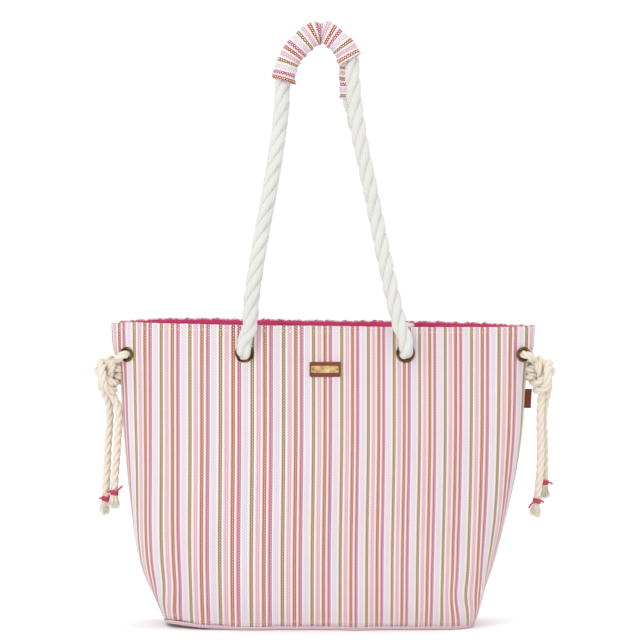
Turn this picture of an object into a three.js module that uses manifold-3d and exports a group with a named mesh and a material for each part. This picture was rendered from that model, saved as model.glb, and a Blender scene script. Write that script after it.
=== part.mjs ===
// Striped canvas beach bag with two twisted rope handles and a knotted rope tie at each side.
// Millimetres, +Z up. The origin is on the floor under the middle of the base.
// The front of the bag faces -Y, and +X is to the right of someone looking at its front.

import * as THREE from 'three';
import { mergeVertices } from 'three/addons/utils/BufferGeometryUtils.js';
import Module from 'manifold-3d';

const wasm = await Module();
wasm.setup();

// ---------------------------------------------------------------- driving dimensions

const rimHeight = 362;
const basePanelHeight = 4.5;
const baseEdgeRound = 2;
const canvas = 1.8;
const lining = 0.9;
const gap = 0.3;

// The wall's plan is a superellipse at every height: a rounded oblong at the base that
// closes up to a long narrow eye at the rim. These are [height, half width or half depth].
const halfWidths = [
  [0, 184], [30, 195], [80, 212], [160, 229], [230, 239], [300, 244], [336, 253], [362, 254],
];
const halfDepths = [
  [0, 64], [30, 71], [80, 70], [160, 62], [230, 53], [300, 43], [336, 38], [362, 35],
];
const squarenessAtBase = 5;
const squarenessAtRim = 2;

const wallColumns = 18;
const wallHeights = [14, 34, 64, 104, 160, 220, 275, 305, 327, 345];

// Radii of a grommet's hole, barrel and flange; lift is the flange's clearance off the canvas
// and drop the washer's clearance off the lining.
const handleGrommet = {
  x: 96, z: 329, hole: 7.9, barrel: 8.6, flange: 11.5, thickness: 2.1, lift: 0.4, drop: 0.5, sides: 14,
};
const sideGrommet = {
  x: 237, z: 326, hole: 5.5, barrel: 6.3, flange: 9.2, thickness: 1.6, lift: 0.8, drop: 1.7, sides: 12,
};
const washerThickness = 0.8;

const handleRopeRadius = 8.5;
const handlePivotOut = 11;
const handleTopDepth = 16;
const handleTopHeight = 711;
const sleeveInnerRadius = 11;
const sleeveOuterRadius = 13.8;

const tieRopeRadius = 4.4;
const tieKnot = { x: 262, z: 304, halfWidth: 14.5, halfDepth: 15, halfHeight: 22 };
const whippingLength = 6;
const whippingThickness = 1.3;
const frayLength = 16;
const frayRadius = 6;

// ---------------------------------------------------------------- small tools

function interpolate(table, height) {
  const curve = new THREE.SplineCurve(table.map(([h, value]) => new THREE.Vector2(h, value)));
  let low = 0;
  let high = 1;
  for (let step = 0; step < 30; step += 1) {
    const middle = (low + high) / 2;
    if (curve.getPoint(middle).x < height) low = middle;
    else high = middle;
  }
  return curve.getPoint(low).y;
}

function material(name, color, roughness, metalness = 0) {
  return new THREE.MeshStandardMaterial({ name, color, roughness, metalness });
}

function toManifold(geometry) {
  const bare = geometry.clone();
  bare.deleteAttribute('normal');
  bare.deleteAttribute('uv');
  const merged = mergeVertices(bare, 1e-4);
  const vertProperties = new Float32Array(merged.attributes.position.array);
  const triVerts = new Uint32Array(merged.index.array);
  return new wasm.Manifold(new wasm.Mesh({ numProp: 3, vertProperties, triVerts }));
}

function fromManifold(solid) {
  const mesh = solid.getMesh();
  const geometry = new THREE.BufferGeometry();
  const positions = new Float32Array(mesh.vertProperties);
  geometry.setAttribute('position', new THREE.BufferAttribute(positions, 3));
  geometry.setIndex(new THREE.BufferAttribute(new Uint32Array(mesh.triVerts), 1));
  return geometry;
}

function cut(geometry, cutters) {
  const takeAway = (solid, cutter) => solid.subtract(toManifold(cutter));
  return fromManifold(cutters.reduce(takeAway, toManifold(geometry)));
}

function join(geometries) {
  return fromManifold(geometries.map(toManifold).reduce((solid, other) => solid.add(other)));
}

function circlePoints(radius, sides) {
  const points = [];
  for (let side = 0; side < sides; side += 1) {
    const angle = (2 * Math.PI * side) / sides;
    points.push(new THREE.Vector2(radius * Math.cos(angle), radius * Math.sin(angle)));
  }
  return points;
}

function tube(points, radius, sides, steps, innerRadius = 0) {
  const section = new THREE.Shape(circlePoints(radius, sides));
  if (innerRadius > 0) section.holes.push(new THREE.Path(circlePoints(innerRadius, sides)));
  const extrudePath = new THREE.CatmullRomCurve3(points, false, 'centripetal');
  return new THREE.ExtrudeGeometry(section, { steps, extrudePath, bevelEnabled: false });
}

// A profile of [radius, height] points turned about the local Z axis.
function turned(profile, sides) {
  const points = [...profile, profile[0]].map(([radius, height]) => new THREE.Vector2(radius, height));
  return new THREE.LatheGeometry(points, sides).rotateX(Math.PI / 2);
}

function rod(radius, low, high, sides) {
  const length = high - low;
  const upright = new THREE.CylinderGeometry(radius, radius, length, sides);
  return upright.rotateX(Math.PI / 2).translate(0, 0, low + length / 2);
}

function ellipsoid(halfX, halfY, halfZ, across = 12, down = 7) {
  return new THREE.SphereGeometry(1, across, down).rotateX(Math.PI / 2).scale(halfX, halfY, halfZ);
}

function ball(radius, sides) {
  return ellipsoid(radius, radius, radius, sides, 6);
}

const bag = new THREE.Group();

function addMesh(name, geometry, look, parent = bag) {
  const mesh = new THREE.Mesh(geometry, look);
  mesh.name = name;
  parent.add(mesh);
  return mesh;
}

// ---------------------------------------------------------------- materials

const looks = {
  stripedCanvas: material('striped_canvas', 0xe6c6c0, 0.85),
  baseCanvas: material('base_canvas', 0xf2d3da, 0.85),
  lining: material('lining', 0xe23c78, 0.8),
  rope: material('rope', 0xf3efe4, 0.9),
  brass: material('antique_brass', 0x7a6338, 0.4, 0.9),
  leather: material('leather', 0x8e4b32, 0.6),
  plate: material('name_plate', 0xb08d4f, 0.35, 0.9),
  thread: material('whipping_thread', 0xe0406f, 0.7),
  label: material('label', 0x8a3b2c, 0.8),
  steel: material('snap', 0xb9a98a, 0.35, 0.9),
};

// ---------------------------------------------------------------- the wall's shape

function planAt(height) {
  return {
    width: interpolate(halfWidths, height),
    depth: interpolate(halfDepths, height),
    square: squarenessAtBase + (squarenessAtRim - squarenessAtBase) * (height / rimHeight),
  };
}

// A point of the wall's plan at an angle counted from +X towards +Y, moved inwards by inset.
function planPoint(plan, angle, inset) {
  const cos = Math.cos(angle);
  const sin = Math.sin(angle);
  const across = Math.sign(cos) * Math.abs(cos) ** (2 / plan.square);
  const along = Math.sign(sin) * Math.abs(sin) ** (2 / plan.square);
  const normal = new THREE.Vector2(
    (Math.sign(across) * Math.abs(across) ** (plan.square - 1)) / plan.width,
    (Math.sign(along) * Math.abs(along) ** (plan.square - 1)) / plan.depth,
  ).normalize();
  return new THREE.Vector2(plan.width * across, plan.depth * along).addScaledVector(normal, -inset);
}

function wallDepth(x, height) {
  const plan = planAt(height);
  return plan.depth * (1 - (Math.abs(x) / plan.width) ** plan.square) ** (1 / plan.square);
}

// The frame of a fitting that sits flat on the wall: local Z points out of the bag and
// local Y up the wall.
function wallFrame(x, height, face) {
  const at = (dx, dz) => new THREE.Vector3(x + dx, face * wallDepth(x + dx, height + dz), height + dz);
  const across = at(1, 0).sub(at(-1, 0));
  const up = at(0, 1).sub(at(0, -1)).normalize();
  const outwards = new THREE.Vector3().crossVectors(up, across).multiplyScalar(face).normalize();
  const right = new THREE.Vector3().crossVectors(up, outwards).normalize();
  return new THREE.Matrix4().makeBasis(right, up, outwards).setPosition(at(0, 0));
}

function groupAt(frame) {
  const group = new THREE.Group();
  frame.decompose(group.position, group.quaternion, group.scale);
  bag.add(group);
  return group;
}

// A closed sheet between two grids of points, both [row upwards][column anticlockwise].
function sheet(outer, inner) {
  const rows = outer.length - 1;
  const columns = outer[0].length - 1;
  const corners = [];
  const quad = (a, b, c, d) => corners.push(a, b, c, a, c, d);
  for (let r = 0; r < rows; r += 1) {
    for (let c = 0; c < columns; c += 1) {
      quad(outer[r][c], outer[r][c + 1], outer[r + 1][c + 1], outer[r + 1][c]);
      quad(inner[r][c], inner[r + 1][c], inner[r + 1][c + 1], inner[r][c + 1]);
    }
    quad(outer[r][0], outer[r + 1][0], inner[r + 1][0], inner[r][0]);
    quad(outer[r][columns], inner[r][columns], inner[r + 1][columns], outer[r + 1][columns]);
  }
  for (let c = 0; c < columns; c += 1) {
    quad(outer[0][c], inner[0][c], inner[0][c + 1], outer[0][c + 1]);
    quad(outer[rows][c], outer[rows][c + 1], inner[rows][c + 1], inner[rows][c]);
  }
  return new THREE.BufferGeometry().setFromPoints(corners);
}

// Half of the wall, from one side seam to the other, as a sheet of the given thickness.
function halfWall(face, bottom, top, outerInset, thickness) {
  const heights = [bottom, ...wallHeights, top];
  const start = face < 0 ? Math.PI : 0;
  const grid = (inset) => heights.map((height) => {
    const plan = planAt(height);
    const row = [];
    for (let column = 0; column <= wallColumns; column += 1) {
      const point = planPoint(plan, start + (Math.PI * column) / wallColumns, inset);
      const depth = face * Math.max(Math.abs(point.y), gap / 2);
      row.push(new THREE.Vector3(point.x, depth, height));
    }
    return row;
  });
  return sheet(grid(outerInset), grid(outerInset + thickness));
}

// A flat slab with the wall's plan, from [height, inset] levels.
function slab(levels) {
  const rings = levels.map(([height, inset]) => {
    const plan = planAt(height);
    const ring = [];
    for (let column = 0; column < 2 * wallColumns; column += 1) {
      const point = planPoint(plan, (Math.PI * column) / wallColumns, inset);
      ring.push(new THREE.Vector3(point.x, point.y, height));
    }
    return ring;
  });
  const corners = [];
  const bottomMiddle = new THREE.Vector3(0, 0, levels[0][0]);
  const topMiddle = new THREE.Vector3(0, 0, levels[levels.length - 1][0]);
  const count = 2 * wallColumns;
  for (let c = 0; c < count; c += 1) {
    const next = (c + 1) % count;
    for (let r = 0; r < rings.length - 1; r += 1) {
      corners.push(rings[r][c], rings[r][next], rings[r + 1][next]);
      corners.push(rings[r][c], rings[r + 1][next], rings[r + 1][c]);
    }
    corners.push(bottomMiddle, rings[0][next], rings[0][c]);
    corners.push(topMiddle, rings[rings.length - 1][c], rings[rings.length - 1][next]);
  }
  return new THREE.BufferGeometry().setFromPoints(corners);
}

// ---------------------------------------------------------------- where the fittings sit

const faces = [['front', -1], ['rear', 1]];
const sides = [['left', -1], ['right', 1]];

const grommetPlaces = [];
for (const [faceName, face] of faces) {
  for (const [sideName, side] of sides) {
    for (const [kind, size] of [['handle', handleGrommet], ['tie', sideGrommet]]) {
      const frame = wallFrame(side * size.x, size.z, face);
      grommetPlaces.push({ name: `${faceName}_${sideName}_${kind}`, kind, size, frame, face, side });
    }
  }
}

function placeOf(kind, face, side) {
  return grommetPlaces.find((place) => place.kind === kind && place.face === face && place.side === side);
}

const offWall = (place, out) => new THREE.Vector3(0, 0, out).applyMatrix4(place.frame);

// ---------------------------------------------------------------- canvas shell and lining

const wallBottom = basePanelHeight + gap;
const liningInset = canvas + gap;
const liningBaseTop = wallBottom + lining;

function grommetHoles(face) {
  return grommetPlaces.filter((place) => place.face === face).map((place) => {
    const depth = 12;
    return rod(place.size.barrel + gap, -depth, depth, place.size.sides).applyMatrix4(place.frame);
  });
}

function addShell() {
  for (const [faceName, face] of faces) {
    const canvasWall = halfWall(face, wallBottom, rimHeight, 0, canvas);
    addMesh(`${faceName}_panel`, cut(canvasWall, grommetHoles(face)), looks.stripedCanvas);
    const liningWall = halfWall(face, liningBaseTop + gap, rimHeight - 1.5, liningInset, lining);
    addMesh(`${faceName}_lining`, cut(liningWall, grommetHoles(face)), looks.lining);
  }
  const baseLevels = [[0, baseEdgeRound], [baseEdgeRound, 0], [basePanelHeight, 0]];
  addMesh('base_panel', slab(baseLevels), looks.baseCanvas);
  const liningLevels = [[wallBottom, liningInset], [liningBaseTop, liningInset]];
  addMesh('base_lining', slab(liningLevels), looks.lining);
}

// A flat slip pocket of one layer, sewn to the rear lining.
function addPocket() {
  const halfWidth = 85;
  const bottom = 130;
  const top = 270;
  const columns = 8;
  const rows = 5;
  const inset = liningInset + lining + 0.9;
  const grid = (depthIn) => {
    const points = [];
    for (let r = 0; r <= rows; r += 1) {
      const height = bottom + ((top - bottom) * r) / rows;
      const row = [];
      for (let c = 0; c <= columns; c += 1) {
        const x = halfWidth - (2 * halfWidth * c) / columns;
        row.push(new THREE.Vector3(x, wallDepth(x, height) - depthIn, height));
      }
      points.push(row);
    }
    return points;
  };
  addMesh('inside_pocket', sheet(grid(inset), grid(inset + lining)), looks.lining);
}

// ---------------------------------------------------------------- grommets and snap

// The shell is this thick where a grommet clamps it.
const wallThickness = canvas + gap + lining;

function addGrommet(place) {
  const { hole, barrel, flange, thickness, lift, drop, sides: count } = place.size;
  const washerTop = -wallThickness - drop;
  const washerBottom = washerTop - washerThickness;
  const curlTop = washerBottom - gap;
  const curlBottom = curlTop - 0.6;
  const curlRadius = barrel + 1.2;
  const crown = lift + thickness;
  const profile = [
    [hole, curlBottom], [curlRadius, curlBottom], [curlRadius, curlTop],
    [barrel, curlTop], [barrel, lift],
    [flange, lift], [flange - 0.6, lift + 0.6 * thickness],
    [(hole + flange) / 2, crown], [hole, crown - 0.8],
  ];
  const group = groupAt(place.frame);
  addMesh(`${place.name}_grommet`, turned(profile, count), looks.brass, group);
  const washer = [
    [barrel + gap, washerBottom], [flange - 0.5, washerBottom],
    [flange - 0.5, washerTop], [barrel + gap, washerTop],
  ];
  addMesh(`${place.name}_washer`, turned(washer, count), looks.brass, group);
}

// The two halves of a magnetic snap face each other inside the mouth.
function addSnap() {
  const radius = 9;
  const height = 340;
  const postRadius = 3.5;
  const sidesOfDisc = 16;
  const back = -(wallThickness + gap);
  const face = back - 2.6;
  const wellRadius = postRadius + 0.7;
  const wellBottom = face + 1.4;
  const postTop = face - 1.2;
  const disc = [[radius, face], [radius, back], [0, back]];
  const socket = [[0, wellBottom], [wellRadius, wellBottom], [wellRadius, face], ...disc];
  const stud = [[0, postTop], [postRadius, postTop], [postRadius, face], ...disc];
  const discOf = (profile) => {
    const points = profile.map(([r, h]) => new THREE.Vector2(r, h));
    return new THREE.LatheGeometry(points, sidesOfDisc).rotateX(Math.PI / 2);
  };
  addMesh('snap_socket', discOf(socket), looks.steel, groupAt(wallFrame(0, height, -1)));
  addMesh('snap_stud', discOf(stud), looks.steel, groupAt(wallFrame(0, height, 1)));
}

// ---------------------------------------------------------------- patch, plate and label

function addPatchAndLabel() {
  const patch = { width: 37, height: 18, thickness: 1.6, z: 310 };
  const plate = { width: 33, height: 8.5, thickness: 0.9 };
  const group = groupAt(wallFrame(0, patch.z, -1));
  const patchBack = 0.5;
  const plateBack = patchBack + patch.thickness + gap;
  const leather = new THREE.BoxGeometry(patch.width, patch.height, patch.thickness);
  leather.translate(0, 0, patchBack + patch.thickness / 2);
  addMesh('leather_patch', leather, looks.leather, group);
  const brass = new THREE.BoxGeometry(plate.width, plate.height, plate.thickness);
  brass.translate(0, 0, plateBack + plate.thickness / 2);
  addMesh('name_plate', brass, looks.plate, group);

  const label = { proud: 8, thickness: 1.6, bottom: 260, top: 283 };
  const middle = (label.bottom + label.top) / 2;
  const inner = planAt(label.top).width + gap;
  const tab = new THREE.BoxGeometry(label.proud, label.thickness, label.top - label.bottom);
  addMesh('side_label', tab.translate(inner + label.proud / 2, 0, middle), looks.label);
}

// ---------------------------------------------------------------- handles

// The handle's centreline seen from the front as [x, z], from above the left grommet
// to above the right one.
const handleRoute = [
  [-91, 356], [-88, 392], [-79, 452], [-68, 512], [-58, 572], [-52, 620], [-50, 654],
  [-41, 681], [-20, 704], [-6, 711], [9, 705], [21, 694], [30, 679], [33, 656], [35, 632],
  [44, 572], [54, 524], [71, 440], [79, 404], [88, 366],
];
// The first and last of those points that each sleeve covers: the rear one has slid to the right.
const sleeveSpans = { front: [6, 12], rear: [8, 14] };
// The rear handle's right leg bows this much further in than the front one's, over the top
// two fifths of its rise.
const rearRightLegIn = 5;
const bowStart = 0.6;

function handlePivot(face, side) {
  return offWall(placeOf('handle', face, side), handlePivotOut);
}

function handleLine(faceName, face) {
  const left = handlePivot(face, -1);
  const right = handlePivot(face, 1);
  const topY = face * handleTopDepth;
  const lean = (z) => THREE.MathUtils.mapLinear(z, left.z, handleTopHeight, left.y, topY);
  const legIn = (x, z) => {
    const rise = (z - left.z) / (handleTopHeight - left.z);
    if (face < 0 || x < 0 || rise < bowStart) return 0;
    return rearRightLegIn * Math.sin((Math.PI * (rise - bowStart)) / (1 - bowStart)) ** 2;
  };
  const middle = handleRoute.map(([x, z]) => new THREE.Vector3(x - legIn(x, z), lean(z), z));
  const [first, last] = sleeveSpans[faceName];
  return { rope: [left, ...middle, right], sleeve: middle.slice(first, last + 1) };
}

function addHandle(faceName, face) {
  const line = handleLine(faceName, face);
  const ropeSides = 8;
  const elbow = (point) => ball(handleRopeRadius, ropeSides).translate(point.x, point.y, point.z);
  const rope = tube(line.rope, handleRopeRadius, ropeSides, 44);
  const ends = [line.rope[0], line.rope[line.rope.length - 1]];
  addMesh(`${faceName}_handle_rope`, join([rope, ...ends.map(elbow)]), looks.rope);
  const sleeve = tube(line.sleeve, sleeveOuterRadius, 10, 11, sleeveInnerRadius);
  addMesh(`${faceName}_handle_sleeve`, sleeve, looks.stripedCanvas);
}

// The rope's end inside the bag: through the grommet, then tied in a stopper knot behind it.
function addStopperKnot(place) {
  const knot = { halfX: 16, halfY: 19, halfZ: 12.5, behind: 20, below: 5 };
  const ropeEnd = handlePivotOut - handleRopeRadius - 0.5;
  const stub = rod(place.size.hole - 0.5, -knot.behind, ropeEnd, 12);
  const lump = ellipsoid(knot.halfX, knot.halfY, knot.halfZ).translate(0, -knot.below, -knot.behind);
  const name = place.name.replace('_handle', '_stopper_knot');
  addMesh(name, join([stub, lump]), looks.rope, groupAt(place.frame));
}

// ---------------------------------------------------------------- side ties

function knotSolid(side, grow) {
  const { halfWidth, halfDepth, halfHeight, x, z } = tieKnot;
  return ellipsoid(halfWidth + grow, halfDepth + grow, halfHeight + grow).translate(side * x, 0, z);
}

// The tie goes into the bag through the front grommet and out again through the rear one.
function addTie(sideName, side) {
  const front = placeOf('tie', -1, side);
  const rear = placeOf('tie', 1, side);
  const insideMiddle = new THREE.Vector3(side * 229, 0, sideGrommet.z);
  const knotMiddle = (face) => new THREE.Vector3(side * (tieKnot.x - 3), face * 5, tieKnot.z + 6);
  const bend = (face) => new THREE.Vector3(side * 251, face * 23, sideGrommet.z - 3);
  const points = [
    knotMiddle(-1), bend(-1), offWall(front, 9), offWall(front, 2), offWall(front, -5),
    insideMiddle,
    offWall(rear, -5), offWall(rear, 2), offWall(rear, 9), bend(1), knotMiddle(1),
  ];
  const rope = tube(points, tieRopeRadius, 8, 22);
  addMesh(`${sideName}_tie_rope`, cut(rope, [knotSolid(side, gap)]), looks.rope);
  addMesh(`${sideName}_tie_knot`, knotSolid(side, 0), looks.rope);
}

// Each tail hangs from the knot: its pivot, then the points it passes, then its end.
const tails = {
  left_front: [
    [-251, -7.5, 284], [-248.5, -8, 262], [-249.5, -8, 215], [-252.5, -7.5, 175], [-253.5, -7.5, 155],
  ],
  left_rear: [[-259.5, 6, 279], [-259.5, 6.5, 262], [-261.5, 6.5, 210], [-263.5, 6, 165], [-264.5, 6, 146]],
  right_front: [[258, -7.5, 279], [258.5, -8, 255], [259, -8, 205], [257, -7.5, 170], [254, -7.5, 145]],
  right_rear: [[263, 6, 279], [263, 6.5, 255], [264, 6.5, 215], [264.5, 6.5, 185], [264, 6.5, 166]],
};

function endFrame(points) {
  const end = points[points.length - 1];
  const along = end.clone().sub(points[points.length - 2]).normalize();
  const turn = new THREE.Quaternion().setFromUnitVectors(new THREE.Vector3(0, 0, -1), along);
  return new THREE.Matrix4().makeRotationFromQuaternion(turn).setPosition(end);
}

function addTail(name, route) {
  const points = route.map(([x, y, z]) => new THREE.Vector3(x, y, z));
  const pivotBall = ball(tieRopeRadius, 8).translate(points[0].x, points[0].y, points[0].z);
  const rope = tube(points, tieRopeRadius, 8, 8);
  addMesh(`${name}_tail_rope`, join([rope, pivotBall]), looks.rope);

  const group = groupAt(endFrame(points));
  const bore = tieRopeRadius + gap;
  const collar = bore + whippingThickness;
  const bottom = 1;
  const top = bottom + whippingLength;
  const whipping = [[bore, bottom], [collar, bottom], [collar, top], [bore, top]];
  addMesh(`${name}_tail_whipping`, turned(whipping, 12), looks.thread, group);
  const frayEnd = -gap - frayLength;
  const fray = [[0, frayEnd], [frayRadius, frayEnd], [tieRopeRadius, -gap], [0, -gap]];
  const frayPoints = fray.map(([radius, height]) => new THREE.Vector2(radius, height));
  const tuft = new THREE.LatheGeometry(frayPoints, 12).rotateX(Math.PI / 2);
  addMesh(`${name}_tail_fray`, tuft, looks.rope, group);
}

// ---------------------------------------------------------------- the bag

addShell();
addPocket();
grommetPlaces.forEach(addGrommet);
addSnap();
addPatchAndLabel();
faces.forEach(([faceName, face]) => addHandle(faceName, face));
grommetPlaces.filter((place) => place.kind === 'handle').forEach(addStopperKnot);
sides.forEach(([sideName, side]) => addTie(sideName, side));
Object.entries(tails).forEach(([name, route]) => addTail(name, route));

export default bag;
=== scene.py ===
"""The looks of a striped canvas beach bag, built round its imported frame.

Metres, +Z up. The front of the bag faces -Y. The bag's cloth is lofted from the same
plan as its frame, and its ropes are twisted from three strands each.
"""

import math

import bpy
import numpy as np
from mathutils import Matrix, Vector


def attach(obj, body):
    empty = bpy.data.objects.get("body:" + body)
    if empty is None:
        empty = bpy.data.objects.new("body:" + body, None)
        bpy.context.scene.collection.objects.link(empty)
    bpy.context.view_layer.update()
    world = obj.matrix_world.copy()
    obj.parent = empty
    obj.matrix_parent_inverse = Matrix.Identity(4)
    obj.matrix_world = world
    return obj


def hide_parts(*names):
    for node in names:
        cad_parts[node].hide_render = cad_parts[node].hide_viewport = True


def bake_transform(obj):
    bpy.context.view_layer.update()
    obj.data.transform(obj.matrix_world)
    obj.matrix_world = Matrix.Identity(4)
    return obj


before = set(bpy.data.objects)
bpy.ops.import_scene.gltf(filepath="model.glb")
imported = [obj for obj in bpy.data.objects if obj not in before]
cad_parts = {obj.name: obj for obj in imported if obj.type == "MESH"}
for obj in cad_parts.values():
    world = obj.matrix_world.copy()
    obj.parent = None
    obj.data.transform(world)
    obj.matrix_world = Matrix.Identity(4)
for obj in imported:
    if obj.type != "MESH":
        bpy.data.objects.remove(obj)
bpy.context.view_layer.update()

# ------------------------------------------------------------------ driving dimensions

RIM = 0.362
BASE_HEIGHT = 0.0045
GAP = 0.0003
CANVAS = 0.0018
LINING = 0.0009

# Half the bag's width and half its depth, by height. The widths are the frame's, but for a
# millimetre or so more from 30 to 160 mm up.
HALF_WIDTHS = [
    (0.000, 0.184), (0.030, 0.196), (0.080, 0.2135), (0.160, 0.230),
    (0.230, 0.239), (0.300, 0.244), (0.336, 0.253), (0.362, 0.254),
]
HALF_DEPTHS = [
    (0.000, 0.064), (0.030, 0.071), (0.080, 0.070), (0.160, 0.062),
    (0.230, 0.053), (0.300, 0.043), (0.336, 0.038), (0.362, 0.035),
]
RIM_HALF = HALF_WIDTHS[-1][1]
# The power of the superellipse that the outline follows: almost a box at the base, and a narrow
# ellipse at the rim.
SQUARE_AT_BASE = 5.0
SQUARE_AT_RIM = 2.0

STRIPE_PERIOD = 0.0336
THREAD = STRIPE_PERIOD / 15
PICK = 0.0033

HANDLE_X = 0.096
HANDLE_Z = 0.329
TIE_X = 0.237
TIE_Z = 0.326
PATCH_Z = 0.310
SNAP_Z = 0.340

HANDLE_ROPE = 0.0090
HANDLE_PITCH = 0.070
TIE_ROPE = 0.0048
TIE_PITCH = 0.034

FACES = (("front", -1), ("rear", 1))
SIDES = (("left", -1), ("right", 1))


# ------------------------------------------------------------------ camera and light

def make_camera():
    """A long lens a little above the middle of the bag, looking at its front."""
    data = bpy.data.cameras.new("camera")
    camera = bpy.data.objects.new("camera", data)
    bpy.context.scene.collection.objects.link(camera)
    distance = 6.0
    elevation = math.radians(4.2)
    view_width = 0.768
    target = Vector((-0.006, 0.0, 0.3660))
    back = Vector((0.0, -math.cos(elevation), math.sin(elevation)))
    data.sensor_width = 36.0
    data.lens = data.sensor_width * distance / view_width
    camera.location = target + back * distance
    camera.rotation_mode = "QUATERNION"
    camera.rotation_quaternion = (-back).to_track_quat("-Z", "Y")
    bpy.context.scene.camera = camera


def add_area_light(name, place, target, size, power):
    data = bpy.data.lights.new(name, "AREA")
    data.shape = "DISK"
    data.size = size
    data.energy = power
    light = bpy.data.objects.new(name, data)
    bpy.context.scene.collection.objects.link(light)
    light.location = place
    aim = Vector(target) - Vector(place)
    light.rotation_mode = "QUATERNION"
    light.rotation_quaternion = aim.to_track_quat("-Z", "Y")


def make_studio():
    """A white floor and surround, with one soft key light from the upper left."""
    world = bpy.data.worlds.new("studio")
    bpy.context.scene.world = world
    world.use_nodes = True
    background = world.node_tree.nodes["Background"]
    background.inputs["Color"].default_value = (1.0, 1.0, 1.0, 1.0)
    background.inputs["Strength"].default_value = 1.02
    add_area_light("key", (-1.3, -2.6, 2.1), (0.0, 0.0, 0.3), 1.0, 27.0)
    add_area_light("top", (0.4, 0.6, 3.0), (0.0, 0.0, 0.0), 2.4, 16.0)
    bpy.context.scene.view_settings.view_transform = "Standard"
    bpy.context.scene.view_settings.look = "None"

    reach = 6.0
    floor = Mesh()
    corners = [[(x, y, -0.0004) for x in (-reach, reach)] for y in (-reach, reach)]
    floor.add_grid(np.array(corners), [0.0, 2 * reach], [0.0, 2 * reach])
    floor.make("floor", floor_material())


# ------------------------------------------------------------------ node graphs

class Graph:
    """A small helper that adds nodes to one material and links them."""

    def __init__(self, name):
        self.material = bpy.data.materials.new(name)
        self.material.use_nodes = True
        self.tree = self.material.node_tree
        self.shader = self.tree.nodes["Principled BSDF"]

    def add(self, kind, inputs=None, **settings):
        node = self.tree.nodes.new("ShaderNode" + kind)
        for key, value in settings.items():
            setattr(node, key, value)
        for key, value in (inputs or {}).items():
            self.feed(node.inputs[key], value)
        return node

    def feed(self, socket, value):
        if isinstance(value, bpy.types.NodeSocket):
            self.tree.links.new(value, socket)
        else:
            socket.default_value = value

    def math(self, operation, a, b=0.0, c=0.0):
        node = self.add("Math", {0: a, 1: b, 2: c}, operation=operation)
        return node.outputs[0]

    def mix(self, factor, a, b, blend="MIX"):
        node = self.add("Mix", data_type="RGBA", blend_type=blend)
        self.feed(node.inputs["Factor"], factor)
        self.feed(node.inputs["A"], a)
        self.feed(node.inputs["B"], b)
        return node.outputs["Result"]

    def noise(self, scale, detail=3.0, vector=None, roughness=0.5):
        place = self.add("TexCoord").outputs["Object"] if vector is None else vector
        inputs = {"Vector": place, "Scale": scale, "Detail": detail, "Roughness": roughness}
        return self.add("TexNoise", inputs).outputs["Fac"]

    def stretch(self, value, low, high):
        """Maps 0..1 to low..high."""
        inputs = {"Value": value, "To Min": low, "To Max": high}
        return self.add("MapRange", inputs).outputs["Result"]

    def wave(self, turns):
        """A smooth wave between 0 and 1, once for each whole turn."""
        sine = self.math("SINE", self.math("MULTIPLY", turns, 2 * math.pi))
        return self.math("MULTIPLY_ADD", sine, 0.5, 0.5)

    def grey(self, value):
        return self.add("CombineColor", {"Red": value, "Green": value, "Blue": value}).outputs["Color"]

    def shade(self, colour, value, low, high):
        """Multiplies a colour by a value, mapped from 0..1 to low..high."""
        return self.mix(1.0, colour, self.grey(self.stretch(value, low, high)), "MULTIPLY")

    def uv(self):
        split = self.add("SeparateXYZ", {0: self.add("UVMap", uv_map="cloth").outputs["UV"]})
        return split.outputs["X"], split.outputs["Y"]

    def bump(self, height, distance, strength=1.0):
        node = self.add("Bump", {"Height": height, "Distance": distance, "Strength": strength})
        return node.outputs["Normal"]

    def finish(self, colour, roughness, normal, **constants):
        self.feed(self.shader.inputs["Base Color"], colour)
        self.feed(self.shader.inputs["Roughness"], roughness)
        self.feed(self.shader.inputs["Normal"], normal)
        for key, value in constants.items():
            self.shader.inputs[key.replace("_", " ")].default_value = value
        return self.material


def paint(red, green, blue):
    """A linear colour from the eight-bit values a paint chart gives."""
    def linear(value):
        share = value / 255.0
        return share / 12.92 if share <= 0.04045 else ((share + 0.055) / 1.055) ** 2.4
    return (linear(red), linear(green), linear(blue), 1.0)


CREAM = paint(240, 234, 228)
TAN = paint(146, 106, 44)
PINK = paint(214, 163, 187)
TERRACOTTA = paint(172, 72, 6)
ROSE = paint(180, 70, 122)
LAVENDER = paint(218, 204, 219)

# Each stripe's colour and where it starts and ends, as shares of one period.
STRIPES = [
    (TAN, -0.0625, 0.0625), (PINK, 0.120, 0.275), (TERRACOTTA, 0.332, 0.462),
    (ROSE, 0.523, 0.653), (LAVENDER, 0.705, 0.885),
]


def floor_material():
    g = Graph("studio_floor")
    grain = g.noise(220.0)
    colour = g.mix(grain, (0.955, 0.955, 0.955, 1.0), (0.975, 0.975, 0.975, 1.0))
    return g.finish(colour, g.stretch(grain, 0.85, 0.95), g.bump(grain, 0.0002))


def stripe_colour(g, share):
    """The woven stripe at a share of the period: a constant ramp with cream between stripes."""
    ramp = g.add("ValToRGB", {"Fac": share})
    ramp.color_ramp.interpolation = "CONSTANT"
    stops = [(0.0, TAN), (STRIPES[0][2], CREAM)]
    for colour, start, end in STRIPES[1:]:
        stops += [(start, colour), (end, CREAM)]
    stops.append((1.0 + STRIPES[0][1], TAN))
    elements = ramp.color_ramp.elements
    elements[0].position, elements[0].color = stops[0]
    elements[1].position, elements[1].color = stops[-1]
    for position, colour in stops[1:-1]:
        element = elements.new(position)
        element.color = colour
    return ramp.outputs["Color"]


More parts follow.
